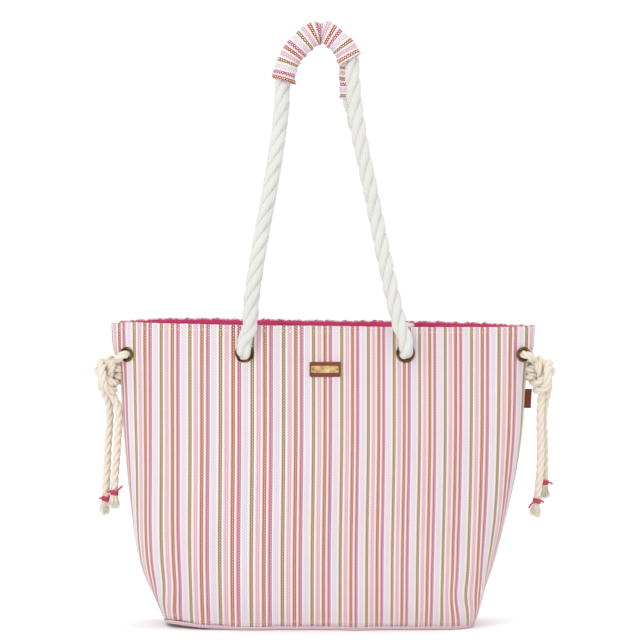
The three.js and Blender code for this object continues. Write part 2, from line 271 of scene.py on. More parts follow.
def striped_canvas():
    """Cream canvas with five woven stripes to a period, each flecked with cream picks."""
    g = Graph("striped_canvas")
    across, along = g.uv()
    pick = g.math("DIVIDE", along, PICK)
    column = g.math("ADD", g.math("DIVIDE", across, THREAD), 0.5)
    parity = g.math("MULTIPLY", g.math("FLOOR", column), 0.5)
    beat = g.math("ADD", pick, parity)
    weave = g.wave(beat)
    rib = g.math("SINE", g.math("MULTIPLY", g.math("FRACT", column), math.pi))
    fleck = g.math("MULTIPLY", weave, rib)
    tooth = g.math("PINGPONG", pick, 0.5)
    jagged = g.math("MULTIPLY_ADD", tooth, 0.0012, across)
    share = g.math("FRACT", g.math("DIVIDE", jagged, STRIPE_PERIOD))
    stripe = stripe_colour(g, share)
    worn = g.noise(9.0, 4.0)
    slub = g.noise(900.0, 2.0)
    lit = g.add("MapRange", {"Value": fleck, "From Min": 0.38, "From Max": 0.70}).outputs["Result"]
    colour = g.mix(g.math("MULTIPLY", lit, 0.96), stripe, CREAM)
    # The fleck pass is painted shade: the weave's hollows, where fleck is low, are darkened to 0.90 and
    # its raised picks lightened a little. The worn and slub passes vary the tone at random.
    for value, low, high in ((fleck, 0.90, 1.02), (worn, 0.965, 1.02), (slub, 0.93, 1.05)):
        colour = g.shade(colour, value, low, high)
    height = g.math("MULTIPLY_ADD", slub, 0.35, fleck)
    normal = g.bump(height, 0.00045)
    roughness = g.stretch(slub, 0.78, 0.95)
    return g.finish(colour, roughness, normal, Sheen_Weight=0.15, Specular_IOR_Level=0.25)


def plain_weave(name, light, dark, thread):
    """A plain-woven cloth with threads over and under each other."""
    g = Graph(name)
    across, along = g.uv()
    warp = g.math("SINE", g.math("MULTIPLY", across, 2 * math.pi / thread))
    weft = g.math("SINE", g.math("MULTIPLY", along, 2 * math.pi / thread))
    checks = g.math("MULTIPLY_ADD", g.math("MULTIPLY", warp, weft), 0.5, 0.5)
    slub = g.noise(500.0, 3.0)
    shade = g.math("MULTIPLY_ADD", g.noise(14.0, 3.0), 0.5, g.math("MULTIPLY", slub, 0.5))
    colour = g.mix(shade, dark, light)
    # Painted shade: the weave's hollows, where checks is low, are darkened to 0.82 and its raised
    # threads lightened a little.
    colour = g.shade(colour, checks, 0.82, 1.04)
    normal = g.bump(g.math("MULTIPLY_ADD", slub, 0.4, checks), 0.00025)
    roughness = g.stretch(slub, 0.7, 0.9)
    return g.finish(colour, roughness, normal, Sheen_Weight=0.2, Specular_IOR_Level=0.3)


def rope_fibre(name, light, dark, yarns=7.0, lay=0.014):
    """Soft cotton: yarns wound along each strand, with loose fibres over them."""
    g = Graph(name)
    around, along = g.uv()
    turn = g.math("MULTIPLY_ADD", along, 1.0 / lay, g.math("MULTIPLY", around, yarns))
    yarn = g.math("POWER", g.wave(turn), 0.5)
    fibre = g.noise(1400.0, 3.0)
    soil = g.noise(30.0, 4.0)
    shade = g.math("MULTIPLY_ADD", fibre, 0.4, g.math("MULTIPLY", soil, 0.6))
    colour = g.mix(shade, dark, light)
    # Painted shade: the grooves between yarns, where yarn is low, are darkened a little.
    colour = g.shade(colour, yarn, 0.95, 1.01)
    height = g.math("MULTIPLY_ADD", fibre, 0.8, yarn)
    roughness = g.stretch(fibre, 0.85, 1.0)
    normal = g.bump(height, 0.0002)
    return g.finish(colour, roughness, normal, Sheen_Weight=0.35, Specular_IOR_Level=0.2)


def antique_brass(name, bright, dark, roughness_low=0.28, roughness_high=0.55):
    """Brass with a dark patina, rubbed brighter in patches, and fine scratches."""
    g = Graph(name)
    patina = g.noise(160.0, 5.0, roughness=0.65)
    fine = g.noise(1800.0, 2.0)
    rubbed = g.add("ValToRGB", {"Fac": patina})
    rubbed.color_ramp.elements[0].position = 0.38
    rubbed.color_ramp.elements[1].position = 0.66
    rubbed.color_ramp.elements[0].color = dark
    rubbed.color_ramp.elements[1].color = bright
    colour = g.mix(0.25, rubbed.outputs["Color"], g.grey(fine), "MULTIPLY")
    stretched = g.add("Mapping", {"Vector": g.add("TexCoord").outputs["Object"]})
    stretched.inputs["Scale"].default_value = (0.15, 1.0, 2.5)
    scratch = g.noise(2400.0, 2.0, vector=stretched.outputs["Vector"])
    normal = g.bump(g.math("MULTIPLY_ADD", scratch, 0.6, patina), 0.00012)
    roughness = g.stretch(fine, roughness_low, roughness_high)
    return g.finish(colour, roughness, normal, Metallic=1.0)


def brown_leather():
    """Smooth leather with a pebbled grain and darker, rubbed patches."""
    g = Graph("leather")
    place = g.add("TexCoord").outputs["Object"]
    cells = g.add("TexVoronoi", {"Vector": place, "Scale": 1500.0}, feature="SMOOTH_F1")
    grain = cells.outputs["Distance"]
    patch = g.noise(240.0, 4.0)
    colour = g.mix(patch, paint(110, 48, 28), paint(146, 68, 40))
    colour = g.shade(colour, grain, 1.05, 0.8)
    normal = g.bump(grain, 0.0002, 0.7)
    return g.finish(colour, g.stretch(patch, 0.45, 0.68), normal, Specular_IOR_Level=0.4)


def spun_thread(name, light, dark):
    """Sewing thread: a fine twist along its length."""
    g = Graph(name)
    around, along = g.uv()
    turn = g.math("MULTIPLY_ADD", along, 1.0 / 0.0012, g.math("MULTIPLY", around, 2.0))
    twist = g.wave(turn)
    fibre = g.noise(2500.0, 2.0)
    # Partly painted shade: the colour runs dark in the twist's grooves, where twist is low, and it also
    # varies at random with fibre.
    colour = g.mix(g.math("MULTIPLY", twist, fibre), dark, light)
    normal = g.bump(g.math("ADD", twist, fibre), 0.00012)
    return g.finish(colour, g.stretch(fibre, 0.55, 0.8), normal, Sheen_Weight=0.25)


# ------------------------------------------------------------------ lines and meshes

def smooth_line(points, spacing):
    """Evenly spaced points on the smooth line through the given ones, a centripetal spline."""
    given = np.array(points, float)
    p = np.vstack([2 * given[0] - given[1], given, 2 * given[-1] - given[-2]])
    pieces = []
    for a, b, c, d in zip(p[:-3], p[1:-2], p[2:-1], p[3:]):
        steps = [max(np.linalg.norm(v), 1e-9) ** 0.5 for v in (b - a, c - b, d - c)]
        k0, k1, k2, k3 = np.cumsum([0.0] + steps)
        t = np.linspace(k1, k2, 16, endpoint=False)[:, None]
        ab = (k1 - t) / (k1 - k0) * a + (t - k0) / (k1 - k0) * b
        bc = (k2 - t) / (k2 - k1) * b + (t - k1) / (k2 - k1) * c
        cd = (k3 - t) / (k3 - k2) * c + (t - k2) / (k3 - k2) * d
        abc = (k2 - t) / (k2 - k0) * ab + (t - k0) / (k2 - k0) * bc
        bcd = (k3 - t) / (k3 - k1) * bc + (t - k1) / (k3 - k1) * cd
        pieces.append((k2 - t) / (k2 - k1) * abc + (t - k1) / (k2 - k1) * bcd)
    line = np.vstack(pieces + [p[-2:-1]])
    arc = arc_lengths(line)
    count = max(2, int(round(arc[-1] / spacing)) + 1)
    return read_line(np.linspace(0, arc[-1], count), arc, line)


def arc_lengths(line):
    steps = np.linalg.norm(np.diff(line, axis=0), axis=1)
    return np.concatenate([[0.0], np.cumsum(steps)])


def read_line(at, arc, line):
    """A line's points, or any rows that go with them, at distances along it."""
    return np.column_stack([np.interp(at, arc, line[:, i]) for i in range(3)])


def closed(values, axis=0):
    """The same values with the first one repeated at the end."""
    return np.concatenate([values, values.take([0], axis)], axis)


def hump(value, middle, width):
    """1 where the value is at the middle, falling smoothly to 0 on both sides of it."""
    return np.exp(-(((value - middle) / width) ** 2))


def unit(vectors):
    length = np.linalg.norm(vectors, axis=-1, keepdims=True)
    return vectors / np.maximum(length, 1e-12)


def line_frames(line, first=(0.0, -1.0, 0.02)):
    """Tangent, normal and binormal at each point, turning as little as possible on the way."""
    tangent = unit(np.gradient(line, axis=0))
    normal = np.zeros_like(line)
    start = np.array(first, float)
    current = unit(start - tangent[0] * (start @ tangent[0]))
    for i, t in enumerate(tangent):
        current = unit(current - t * (current @ t))
        normal[i] = current
    return tangent, normal, np.cross(tangent, normal)


class Mesh:
    """Vertices, faces and their cloth coordinates, gathered before one object is made."""

    def __init__(self):
        self.vertices = []
        self.faces = []
        self.uvs = []
        self.count = 0

    def add(self, vertices, faces, uvs):
        """uvs holds one pair for each corner of each face, in the faces' order."""
        self.vertices.append(np.asarray(vertices, float).reshape(-1, 3))
        self.faces += [tuple(i + self.count for i in face) for face in faces]
        self.uvs.append(np.asarray(uvs, float).reshape(-1, 2))
        self.count += len(self.vertices[-1])

    def add_grid(self, points, u, v, wrap=False, flip=False):
        """A grid of points [row][column] with u for each column and v for each row."""
        rows, columns = points.shape[:2]
        u = np.broadcast_to(u, (rows, columns + 1 if wrap else columns))
        v = np.broadcast_to(np.asarray(v, float).reshape(rows, -1), u.shape)
        faces = []
        uvs = []
        for r in range(rows - 1):
            for c in range(columns if wrap else columns - 1):
                n = (c + 1) % columns
                ring = [(r, c, c), (r, n, c + 1), (r + 1, n, c + 1), (r + 1, c, c)]
                if flip:
                    ring.reverse()
                faces.append(tuple(i * columns + j for i, j, _ in ring))
                uvs += [(u[i, k], v[i, k]) for i, _, k in ring]
        self.add(points, faces, uvs)

    def add_fan(self, ring, centre, flip=False):
        """Closes a ring of points with triangles to one centre point."""
        count = len(ring)
        faces = [((i + 1) % count, i, count) for i in range(count)]
        if flip:
            faces = [face[::-1] for face in faces]
        self.add(np.vstack([ring, centre]), faces, np.zeros((3 * count, 2)))

    def cap_ends(self, rings, flip=False):
        """Closes the first and the last ring of a grid, each with a fan to its own middle."""
        self.add_fan(rings[0], rings[0].mean(0), flip)
        self.add_fan(rings[-1], rings[-1].mean(0), not flip)

    def make(self, name, material, weld=True):
        """The mesh as an object, shaded smooth."""
        data = bpy.data.meshes.new(name)
        data.from_pydata(np.vstack(self.vertices).tolist(), [], self.faces)
        layer = data.uv_layers.new(name="cloth")
        layer.data.foreach_set("uv", np.vstack(self.uvs).astype(np.float32).ravel())
        data.materials.append(material)
        data.polygons.foreach_set("use_smooth", [True] * len(data.polygons))
        data.update()
        made = bpy.data.objects.new(name, data)
        bpy.context.scene.collection.objects.link(made)
        if weld:
            join = made.modifiers.new("weld", "WELD")
            join.merge_threshold = 0.000004
            apply_modifiers(made)
        return made

    def piece(self, name, material, body, slot_name, *nodes, weld=True):
        """The mesh as a visible piece of a body, standing for the nodes that it names."""
        return settle(self.make(name, material, weld), body, slot_name, *nodes)


def settle(made, body, slot_name, *nodes):
    """The piece rides on a body and stands for CAD nodes, which it hides. slot_name is not used."""
    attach(made, body)
    if nodes:
        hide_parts(*nodes)
    return made


def apply_modifiers(made):
    graph = bpy.context.evaluated_depsgraph_get()
    data = bpy.data.meshes.new_from_object(made.evaluated_get(graph), depsgraph=graph)
    made.modifiers.clear()
    old = made.data
    made.data = data
    data.name = made.name
    bpy.data.meshes.remove(old)


def add_tube(mesh, line, radii, sides, lobes=0, lobe_depth=0.0, lobe_turn=0.0, caps=True):
    """A round tube along a line. Lobes give a strand the ridges of its yarns."""
    _, normal, binormal = line_frames(line)
    arc = arc_lengths(line)
    radii = np.broadcast_to(radii, len(line))
    angle = np.linspace(0, 2 * math.pi, sides, endpoint=False)
    ripple = np.ones((len(line), sides))
    if lobes:
        phase = lobes * angle[None, :] + lobe_turn * arc[:, None]
        ripple += lobe_depth * np.cos(phase)
    radius = radii[:, None] * ripple
    rings = (
        line[:, None, :]
        + (radius * np.cos(angle))[..., None] * normal[:, None, :]
        + (radius * np.sin(angle))[..., None] * binormal[:, None, :]
    )
    mesh.add_grid(rings, np.linspace(0, 1, sides + 1), arc, wrap=True)
    if caps:
        mesh.add_fan(rings[0], line[0])
        mesh.add_fan(rings[-1], line[-1], flip=True)


def add_rope(mesh, line, radius, pitch, sides, turn=0.0, taper=None):
    """Three strands laid round a line, rising to the right as most rope does."""
    arc = arc_lengths(line)
    _, normal, binormal = line_frames(line)
    scale = np.ones(len(line)) if taper is None else np.asarray(taper)
    offset = 0.50 * radius * scale
    strand = 0.53 * radius * scale
    for number in range(3):
        angle = turn + 2 * math.pi * (number / 3 + arc / pitch)
        centre = line + (offset * np.cos(angle))[:, None] * normal
        centre += (offset * np.sin(angle))[:, None] * binormal
        add_tube(mesh, centre, strand, sides, 6, 0.012, -2 * math.pi / (0.9 * pitch / 3))


# ------------------------------------------------------------------ the wall's shape

def table_value(table, height):
    """The smooth line through a table of (height, value), read at a height."""
    p = np.array([table[0], *table, table[-1]], float)
    found = []
    for a, b, c, d in zip(p[:-3], p[1:-2], p[2:-1], p[3:]):
        t = np.linspace(0, 1, 20, endpoint=False)[:, None]
        found.append(0.5 * (2 * b + (c - a) * t + (2 * a - 5 * b + 4 * c - d) * t**2
                            + (3 * b - a - 3 * c + d) * t**3))
    line = np.vstack(found + [p[-1:]])
    return float(np.interp(height, line[:, 0], line[:, 1]))


def ease(value, low, high):
    """0 below low, 1 above high, and smooth in between."""
    t = np.clip((value - low) / (high - low), 0.0, 1.0)
    return t * t * (3 - 2 * t)


# How far the bag hangs to the left of its frame's middle at its rim, and how much more at its base.
LEFT_AT_RIM = 0.0022
LEFT_BELOW = 0.0062


def sway(height):
    """The bag's sideways place at a height: a little to the left at the rim, and more below."""
    return -LEFT_AT_RIM - LEFT_BELOW * (1.0 - ease(height, 0.06, 0.25))


def plan_at(height):
    square = SQUARE_AT_BASE + (SQUARE_AT_RIM - SQUARE_AT_BASE) * height / RIM
    return table_value(HALF_WIDTHS, height), table_value(HALF_DEPTHS, height), square


def wall_row(face, height, shares):
    """Points of the wall at a height, shares running from -1 to 1 as seen from outside.

    Returns the points and half of the row's whole length.
    """
    width, depth, square = plan_at(height)
    angle = np.linspace(math.pi, 2 * math.pi, 721)
    cos, sin = np.cos(angle), np.sin(angle)
    x = width * np.sign(cos) * np.abs(cos) ** (2 / square)
    y = -depth * np.abs(sin) ** (2 / square)
    arc = arc_lengths(np.column_stack([x, y]))
    at = (np.asarray(shares) + 1) / 2 * arc[-1]
    row_x = -face * np.interp(at, arc, x) + sway(height)
    row_y = -face * np.interp(at, arc, y)
    return np.column_stack([row_x, row_y, np.full(len(at), height)]), arc[-1] / 2


def near(x, z, at_x, at_z, clear, far):
    """0 within clear of a fitting, rising to 1 beyond far."""
    return ease(np.hypot(x - at_x, z - at_z), clear, far)


# The soft folds: each wave's height, its turn per metre across and up the panel, and its phase,
# the part that is the same on both panels first.
FOLDS = [(0.0016, 52, 9, 0.6, 1.0), (0.0011, 95, -14, 0.0, 2.1), (0.0007, 171, 21, 1.3, 0.0)]


def relief(face, points, shares):
    """How far the cloth stands out of its plain shape: soft folds, and flat at each fitting."""
    x, z = points[..., 0], points[..., 2]
    side = -face * x
    low = 1.0 - ease(z, 0.03, 0.34)
    away = 1.0 - ease(np.abs(shares), 0.86, 1.0)
    folds = 0.0
    for size, across, up, phase, face_phase in FOLDS:
        folds = folds + size * np.sin(side * across + up * z + phase + face_phase * face)
    folds = folds + 0.0008 * np.sin(z * 43 + side * 11 + face) * low
    belly = -0.0030 * ease(z, 0.06, 0.2) * (1 - ease(z, 0.2, 0.33)) * hump(side, 0, 0.16)
    corner = hump(side, -0.176, 0.016) * (1 - ease(z, 0.05, 0.15))
    crease = (-0.0050 if face < 0 else -0.0025) * corner
    sink = 0.35 + 0.65 * low
    # No folds at a handle's grommet, at the patch or at a tie's grommet.
    flat = near(np.abs(x), z, HANDLE_X, HANDLE_Z, 0.016, 0.05)
    flat = flat * near(x, z, 0.0, PATCH_Z, 0.022, 0.06)
    flat = flat * near(np.abs(x), z, TIE_X, TIE_Z, 0.011, 0.03)
    pinch = -0.0005 * hump((1 - np.abs(shares)) * 0.26, 0, 0.004)
    base_seam = -0.0012 * hump(z, 0, 0.004)
    below_rim = 1 - hump(z, 0.36, 0.004)
    return (folds * sink + belly) * flat * away + crease + pinch * below_rim + base_seam


def rim_shift(face, x, height):
    """The rim's own waviness, and its middle drawn in by the snap."""
    top = ease(height, 0.300, RIM)
    wave = 0.00045 * np.sin(x * 330) + 0.0003 * np.sin(x * 97 + 2 * face)
    crown = 1 - (x / RIM_HALF) ** 2
    if face > 0:
        wave = wave + 0.0005 * np.sin(x * 2 * math.pi / 0.0112)
        shoulders = hump(np.abs(x), 0.165, 0.06)
        wave = wave + 0.0020 * crown + (0.0012 - 0.0025 * x) * shoulders
    else:
        wave = 0.3 * wave - 0.0010 * crown
    droop = 0.0035 * hump(x, -0.256, 0.011)
    lift = top * (-0.003 * x / RIM_HALF + wave - droop)
    drawn = ease(height, 0.322, 0.355) * hump(x, 0, 0.045) * 0.007
    return lift, -face * drawn


# The lower front left corner: how far it stands off the ground, where it is and how far it reaches.
CORNER_RISE = 0.0062
CORNER_X = -0.202
CORNER_WIDTH = 0.048
CORNER_HEIGHT = 0.07


def corner_lift(points):
    """How far the bag's lower front left corner lifts these points."""
    x, y, z = points[..., 0], points[..., 1], points[..., 2]
    corner = hump(x, CORNER_X, CORNER_WIDTH) * np.exp(-z / CORNER_HEIGHT)
    return CORNER_RISE * corner * (1 - ease(y, -0.060, 0.02))


def plain_wall(face, heights, shares):
    """The wall before its folds: points, outward directions and half of each row's length."""
    points, above, halves = [], [], []
    for height in heights:
        row, half = wall_row(face, height, shares)
        points.append(row)
        halves.append(half)
        above.append(wall_row(face, height + 0.001, shares)[0])
    points = np.array(points)
    along = np.gradient(points, axis=1)
    return points, unit(np.cross(along, np.array(above) - points)), np.array(halves)


def wall_points(face, heights, shares, insets):
    """Rows of points on the finished wall. insets are depths behind the canvas's outer face."""
    points, outward, halves = plain_wall(face, heights, shares)
    insets = np.broadcast_to(np.asarray(insets, float).reshape(-1, 1), points.shape[:2])
    out = relief(face, points, np.broadcast_to(shares, points.shape[:2])) - insets
    moved = points + outward * out[..., None]
    lift, drawn = rim_shift(face, points[..., 0], points[..., 2])
    moved[..., 2] += lift + corner_lift(moved)
    moved[..., 1] += drawn
    return moved, halves


def share_of(face, x, height):
    """The share along a row where the plain wall has this x."""
    shares = np.linspace(-1, 1, 401)
    row, _ = wall_row(face, height, shares)
    order = np.argsort(row[:, 0])
    return float(np.interp(x, row[order, 0], shares[order]))


def wall_spot(face, x, height):
    """One point on the finished wall, at an x and a height."""
    middle = share_of(face, x, height)
    shares = np.array([middle - 0.01, middle, middle + 0.01])
    return wall_points(face, [height], shares, 0.0)[0][0, 1]


def wall_frame(face, x, height):
    """Origin, right, up and outward directions of a fitting flat on the finished wall."""
    step = 0.001
    middle = wall_spot(face, x, height)
    right = unit(wall_spot(face, x - face * step, height) - wall_spot(face, x + face * step, height))
    up = unit(wall_spot(face, x, height + step) - wall_spot(face, x, height - step))
    outward = unit(np.cross(right, up))
    return middle, right, unit(np.cross(outward, right)), outward


def cloth_across(share, half, height):
    """Distance across the woven cloth at a share of a row, where the stripes' pitch drifts a little."""
    gather = 0.06 * (1 - height / RIM) ** 3
    s = share * half * (1 + gather * share**2)
    drift = 0.0044 - 0.0056 * s + 0.056 * s**2 - 0.006 * np.cos(math.pi * (s - 0.0024) / 0.186)
    fold = hump(height, 0.042, 0.018) * hump(s, 0.178, 0.02)
    left = (1 - ease(height, 0.010, 0.056)) * hump(np.maximum(s + 0.205, 0), 0, 0.030)
    right = (1 - ease(height, 0.0, 0.045)) * hump(np.maximum(0.178 - s, 0), 0, 0.023)
    corners = 0.0020 * fold + 0.0078 * left - 0.0050 * right
    return s + drift + corners + 0.7 * sway(height) + 0.421 * STRIPE_PERIOD


# ------------------------------------------------------------------ canvas shell

def even(low, high, step):
    return list(np.linspace(low, high, max(2, int(round((high - low) / step)) + 1)))


def make_wall(name, face, bottom, top, outer, thickness, material, step, striped):
    """One wall of cloth with a rounded top edge: an outer and an inner skin."""
    round_off = 0.5 * thickness
    # Half way round the quarter circle of the top edge, a point is this share of its radius in.
    shoulder = 0.29 * round_off
    levels = even(bottom, top - round_off, step)
    heights = levels + [top - shoulder, top]
    shares = np.linspace(-1, 1, int(round(0.52 / step)) + 1)
    skins = []
    for inner in (False, True):
        deep = outer + (thickness if inner else 0.0)
        towards = -1 if inner else 1
        insets = [deep] * len(levels) + [deep + towards * shoulder, deep + towards * round_off]
        skins.append(wall_points(face, heights, shares, insets))
    mesh = Mesh()
    (front, halves), (back, _) = skins
    rows = np.array(heights)[:, None]
    across = cloth_across(shares[None, :], halves[:, None], rows) if striped else shares * halves.mean()
    across = np.broadcast_to(across, front.shape[:2])
    mesh.add_grid(front, across, heights)
    mesh.add_grid(back, across, heights, flip=True)
    for column, flip in ((0, True), (-1, False)):
        edge = np.stack([front[:, column], back[:, column]], axis=1)
        mesh.add_grid(edge, across[:, column][:, None] * np.ones(2), heights, flip=flip)
    hem = np.stack([front[0], back[0]])
    mesh.add_grid(hem, across[0], [heights[0], heights[0]], flip=True)
    return mesh.make(name, material)


def lathe(mesh, profile, frame_of, sides):
    """Turns a closed [radius, out] profile about a fitting's outward direction."""
    origin, right, up, outward = frame_of
    angle = np.linspace(0, 2 * math.pi, sides, endpoint=False)
    rows = []
    for radius, out in profile + profile[:1]:
        ring = np.cos(angle)[:, None] * right + np.sin(angle)[:, None] * up
        rows.append(origin + radius * ring + out * outward)
    arc = arc_lengths(np.array([[r, h, 0.0] for r, h in profile + profile[:1]]))
    mesh.add_grid(np.array(rows), np.linspace(0, 1, sides + 1), arc, wrap=True)


def cut_holes(made, places):
    """Cuts the grommets' holes through a wall."""
    mesh = Mesh()
    for frame_of, radius in places:
        rod = [(0.0002, -0.012), (radius, -0.012), (radius, 0.012), (0.0002, 0.012)]
        lathe(mesh, rod, frame_of, 32)
    cutter = mesh.make(made.name + "_cutter", made.data.materials[0])
    cut = made.modifiers.new("holes", "BOOLEAN")
    cut.operation = "DIFFERENCE"
    cut.solver = "EXACT"
    cut.object = cutter
    apply_modifiers(made)
    bpy.data.objects.remove(cutter)


# The radii of each kind of grommet, as in the frame: hole, barrel, flange, flange thickness,
# clearance off the canvas and clearance off the lining.
GROMMETS = {
    "handle": dict(hole=0.0079, barrel=0.0086, flange=0.0115, thick=0.0021, lift=0.0004, drop=0.0005),
    "tie": dict(hole=0.0055, barrel=0.0063, flange=0.0092, thick=0.0016, lift=0.0008, drop=0.0017),
}
SPOTS = {"handle": (HANDLE_X, HANDLE_Z), "tie": (TIE_X, TIE_Z)}
WALL_THICK = CANVAS + GAP + LINING


def grommet_frames():
    """The place of every grommet, by face, side and kind."""
    places = {}
    for face_name, face in FACES:
        for side_name, side in SIDES:
            for kind, (x, z) in SPOTS.items():
                places[face_name, side_name, kind] = grommet_frame(face, side * x, z)
    return places


def grommet_frame(face, x, z):
    """The same directions for a grommet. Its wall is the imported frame's, with no folds or lean."""
    def at(dx, dz):
        width, depth, square = plan_at(z + dz)
        y = depth * (1 - (abs(x + dx) / width) ** square) ** (1 / square)
        return np.array([x + dx, face * y, z + dz])
    step = 0.001
    across = at(step, 0) - at(-step, 0)
    up = unit(at(0, step) - at(0, -step))
    outward = unit(np.cross(up, across) * face)
    right = unit(np.cross(up, outward))
    return at(0, 0), right, unit(np.cross(outward, right)), outward


def stitch_row(mesh, points, outward, length=0.0030, space=0.0012, radius=0.00032, bury=0.0002):
    """A row of sewing stitches along a line: each a short bowed thread that dips at both ends."""
    arc = arc_lengths(points)
    outward = np.broadcast_to(outward, points.shape)
    start = 0.5 * space
    while start + length < arc[-1]:
        at = start + length * np.array([0.0, 0.12, 0.5, 0.88, 1.0])
        line = read_line(at, arc, points)
        lift = read_line(at, arc, outward)
        rise = np.array([-bury - radius, 0.5 * radius, radius, 0.5 * radius, -bury - radius])
        add_tube(mesh, line + lift * rise[:, None], radius, 6, caps=False)
        start += length + space


def make_shell(looks, places):
    """Both panels and linings, with the grommets' holes cut, and the topstitching at the rim."""
    for name, face in FACES:
        holes = [(places[name, side, kind], GROMMETS[kind]["barrel"] + GAP)
                 for side, _ in SIDES for kind in SPOTS]
        panel = make_wall(f"{name}_canvas", face, BASE_HEIGHT - 0.0004, RIM, 0.0,
                          CANVAS, looks["canvas"], 0.0032, True)
        cut_holes(panel, holes)
        settle(panel, "bag", "striped_canvas", f"{name}_panel")
        lining_low = BASE_HEIGHT + GAP + LINING + GAP
        inner = make_wall(f"{name}_inner_lining", face, lining_low, RIM - 0.0012, CANVAS + GAP,
                          LINING, looks["lining"], 0.005, False)
        cut_holes(inner, holes)
        settle(inner, "bag", "lining", f"{name}_lining")
        make_wall_stitches(name, face, looks)


def make_wall_stitches(name, face, looks):
    """One panel's stitches: a line under its rim, one up each side seam and one along its base."""
    def proud_wall(heights, shares):
        return wall_points(face, heights, shares, -0.0001)[0], plain_wall(face, heights, shares)[1]

    rim, seam = Mesh(), Mesh()
    for share in (-0.987, 0.987):
        shares = np.array([share - 0.004, share, share + 0.004])
        points, outward = proud_wall(even(0.010, RIM - 0.010, 0.004), shares)
        stitch_row(seam, points[:, 1], outward[:, 1])
    for mesh, height, reach in ((rim, RIM - 0.0065, 0.992), (seam, 0.0105, 0.98)):
        points, outward = proud_wall([height], np.linspace(-reach, reach, 260))
        stitch_row(mesh, points[0], outward[0])
    for mesh, kind in ((rim, "rim"), (seam, "seam")):
        mesh.piece(f"{name}_{kind}_stitches", looks["cream_thread"], "bag", "striped_canvas",
                   weld=False)


def ring_of(height, inset):
    """The whole outline of the bag at a height, anticlockwise from above."""
    shares = np.linspace(-1, 1, 130)[:-1]
    return np.vstack([wall_points(face, [height], shares, inset)[0][0] for _, face in FACES])


# The base's stripes run from side to side. The distance across them from the middle to where the
# edge turns up, and the phase that puts the pale pink stripe along the front edge, over a tan one.
BASE_HALF_CLOTH = 0.066
BASE_PHASE = 0.0048


def make_base(looks):
    """The base panel: the same cloth turned sideways, rounded at its edge and slightly proud."""
    levels = [(0.0000, 0.0030), (0.0002, 0.0014), (0.0006, 0.0004), (0.0013, 0.0000),
              (0.0024, -0.0002), (0.0036, 0.0001), (0.0044, 0.0007), (BASE_HEIGHT, 0.0030)]
    rings = np.array([ring_of(BASE_HEIGHT, inset) for _, inset in levels])
    for ring, (height, _) in zip(rings, levels):
        ring[:, 2] = 0.0
        # The lift is the one at the ground, so the whole edge rises without changing its shape.
        ring[:, 2] = height + corner_lift(ring)
    middle = rings[0].mean(0)
    under = [middle + (rings[0] - middle) * share for share in (0.05, 0.35, 0.7, 0.9)]
    over = [middle + (rings[-1] - middle) * share for share in (0.9, 0.5, 0.05)]
    for flat_rings, height in ((under, 0.0), (over, BASE_HEIGHT)):
        for ring in flat_rings:
            ring[:, 2] = height
    skin = np.array(under + list(rings) + over)
    edge = np.maximum(np.abs(rings[4][:, 1]), 0.03)
    rise = skin[..., 2] - corner_lift(skin * [1, 1, 0])
    across = closed(-(BASE_HALF_CLOTH + rise) * skin[..., 1] / edge, 1)
    mesh = Mesh()
    mesh.add_grid(skin, across + BASE_PHASE, closed(skin[..., 0], 1), wrap=True)
    mesh.add_fan(skin[0], [middle[0], middle[1], 0.0])
    mesh.add_fan(skin[-1], [middle[0], middle[1], BASE_HEIGHT], flip=True)
    mesh.piece("base_canvas", looks["canvas"], "bag", "base_canvas", "base_panel")


def make_base_lining(looks):
    """The lining's own floor, a thin cloth lying on the base panel."""
    low = BASE_HEIGHT + GAP
    high = low + LINING
    outline = ring_of(low, CANVAS + GAP + 0.0004)
    centre = outline.mean(0)
    rings = []
    for share, height in ((0.02, low), (0.5, low), (1.0, low), (1.0, high),
                          (0.8, high), (0.5, high), (0.02, high)):
        ring = centre + (outline - centre) * share
        ring[:, 2] = height
        rings.append(ring)
    skin = np.array(rings)
    mesh = Mesh()
    mesh.add_grid(skin, closed(skin[..., 0], 1), closed(skin[..., 1], 1), wrap=True)
    mesh.cap_ends(skin)
    mesh.piece("base_inner_lining", looks["lining"], "bag", "lining", "base_lining")


def make_pocket(looks):
    """A slip pocket on the rear lining: sewn round three sides, its mouth hanging a little open."""
    half_width, bottom, top = 0.085, 0.130, 0.270
    gap_at_mouth = 0.0045
    behind = CANVAS + GAP + LINING
    heights = even(bottom, top, 0.005)
    xs = np.linspace(-half_width, half_width, 45)
    coarse = np.linspace(-half_width, half_width, 7)
    skins = []
    for thick in (LINING, 2 * LINING):
        rows = []
        for height in heights:
            shares = np.interp(xs, coarse, [share_of(1, -x, height) for x in coarse])
            open_share = ease(height, bottom + 0.03, top)
            bow = np.clip(np.cos(0.5 * math.pi * xs / half_width), 0, 1) ** 1.5
            gape = gap_at_mouth * open_share * bow
            points, outward, _ = plain_wall(1, [height], shares)
            out = relief(1, points, np.broadcast_to(shares, points.shape[:2]))
            moved = points + outward * (out - behind - thick - gape[None, :])[..., None]
            rows.append(moved[0])
        skins.append(np.array(rows))
    mesh = Mesh()
    near_skin, far_skin = skins
    mesh.add_grid(near_skin, xs, heights)
    mesh.add_grid(far_skin, xs, heights, flip=True)
    for column, flip in ((0, True), (-1, False)):
        side = np.stack([near_skin[:, column], far_skin[:, column]], 1)
        mesh.add_grid(side, [0, 0.001], heights, flip=flip)
    for row, flip in ((0, True), (-1, False)):
        mesh.add_grid(np.stack([near_skin[row], far_skin[row]]), xs, [0, 0.001], flip=flip)
    mesh.piece("inside_pocket_cloth", looks["lining"], "bag", "lining", "inside_pocket")
    seams = Mesh()
    inward = unit(far_skin - near_skin)
    for column in (2, -3):
        stitch_row(seams, far_skin[:, column], inward[:, column])
    for row in (1, -3):
        stitch_row(seams, far_skin[row], inward[row])
    seams.piece("inside_pocket_stitches", looks["pink_sewing"], "bag", "lining", weld=False)


# ------------------------------------------------------------------ metal fittings

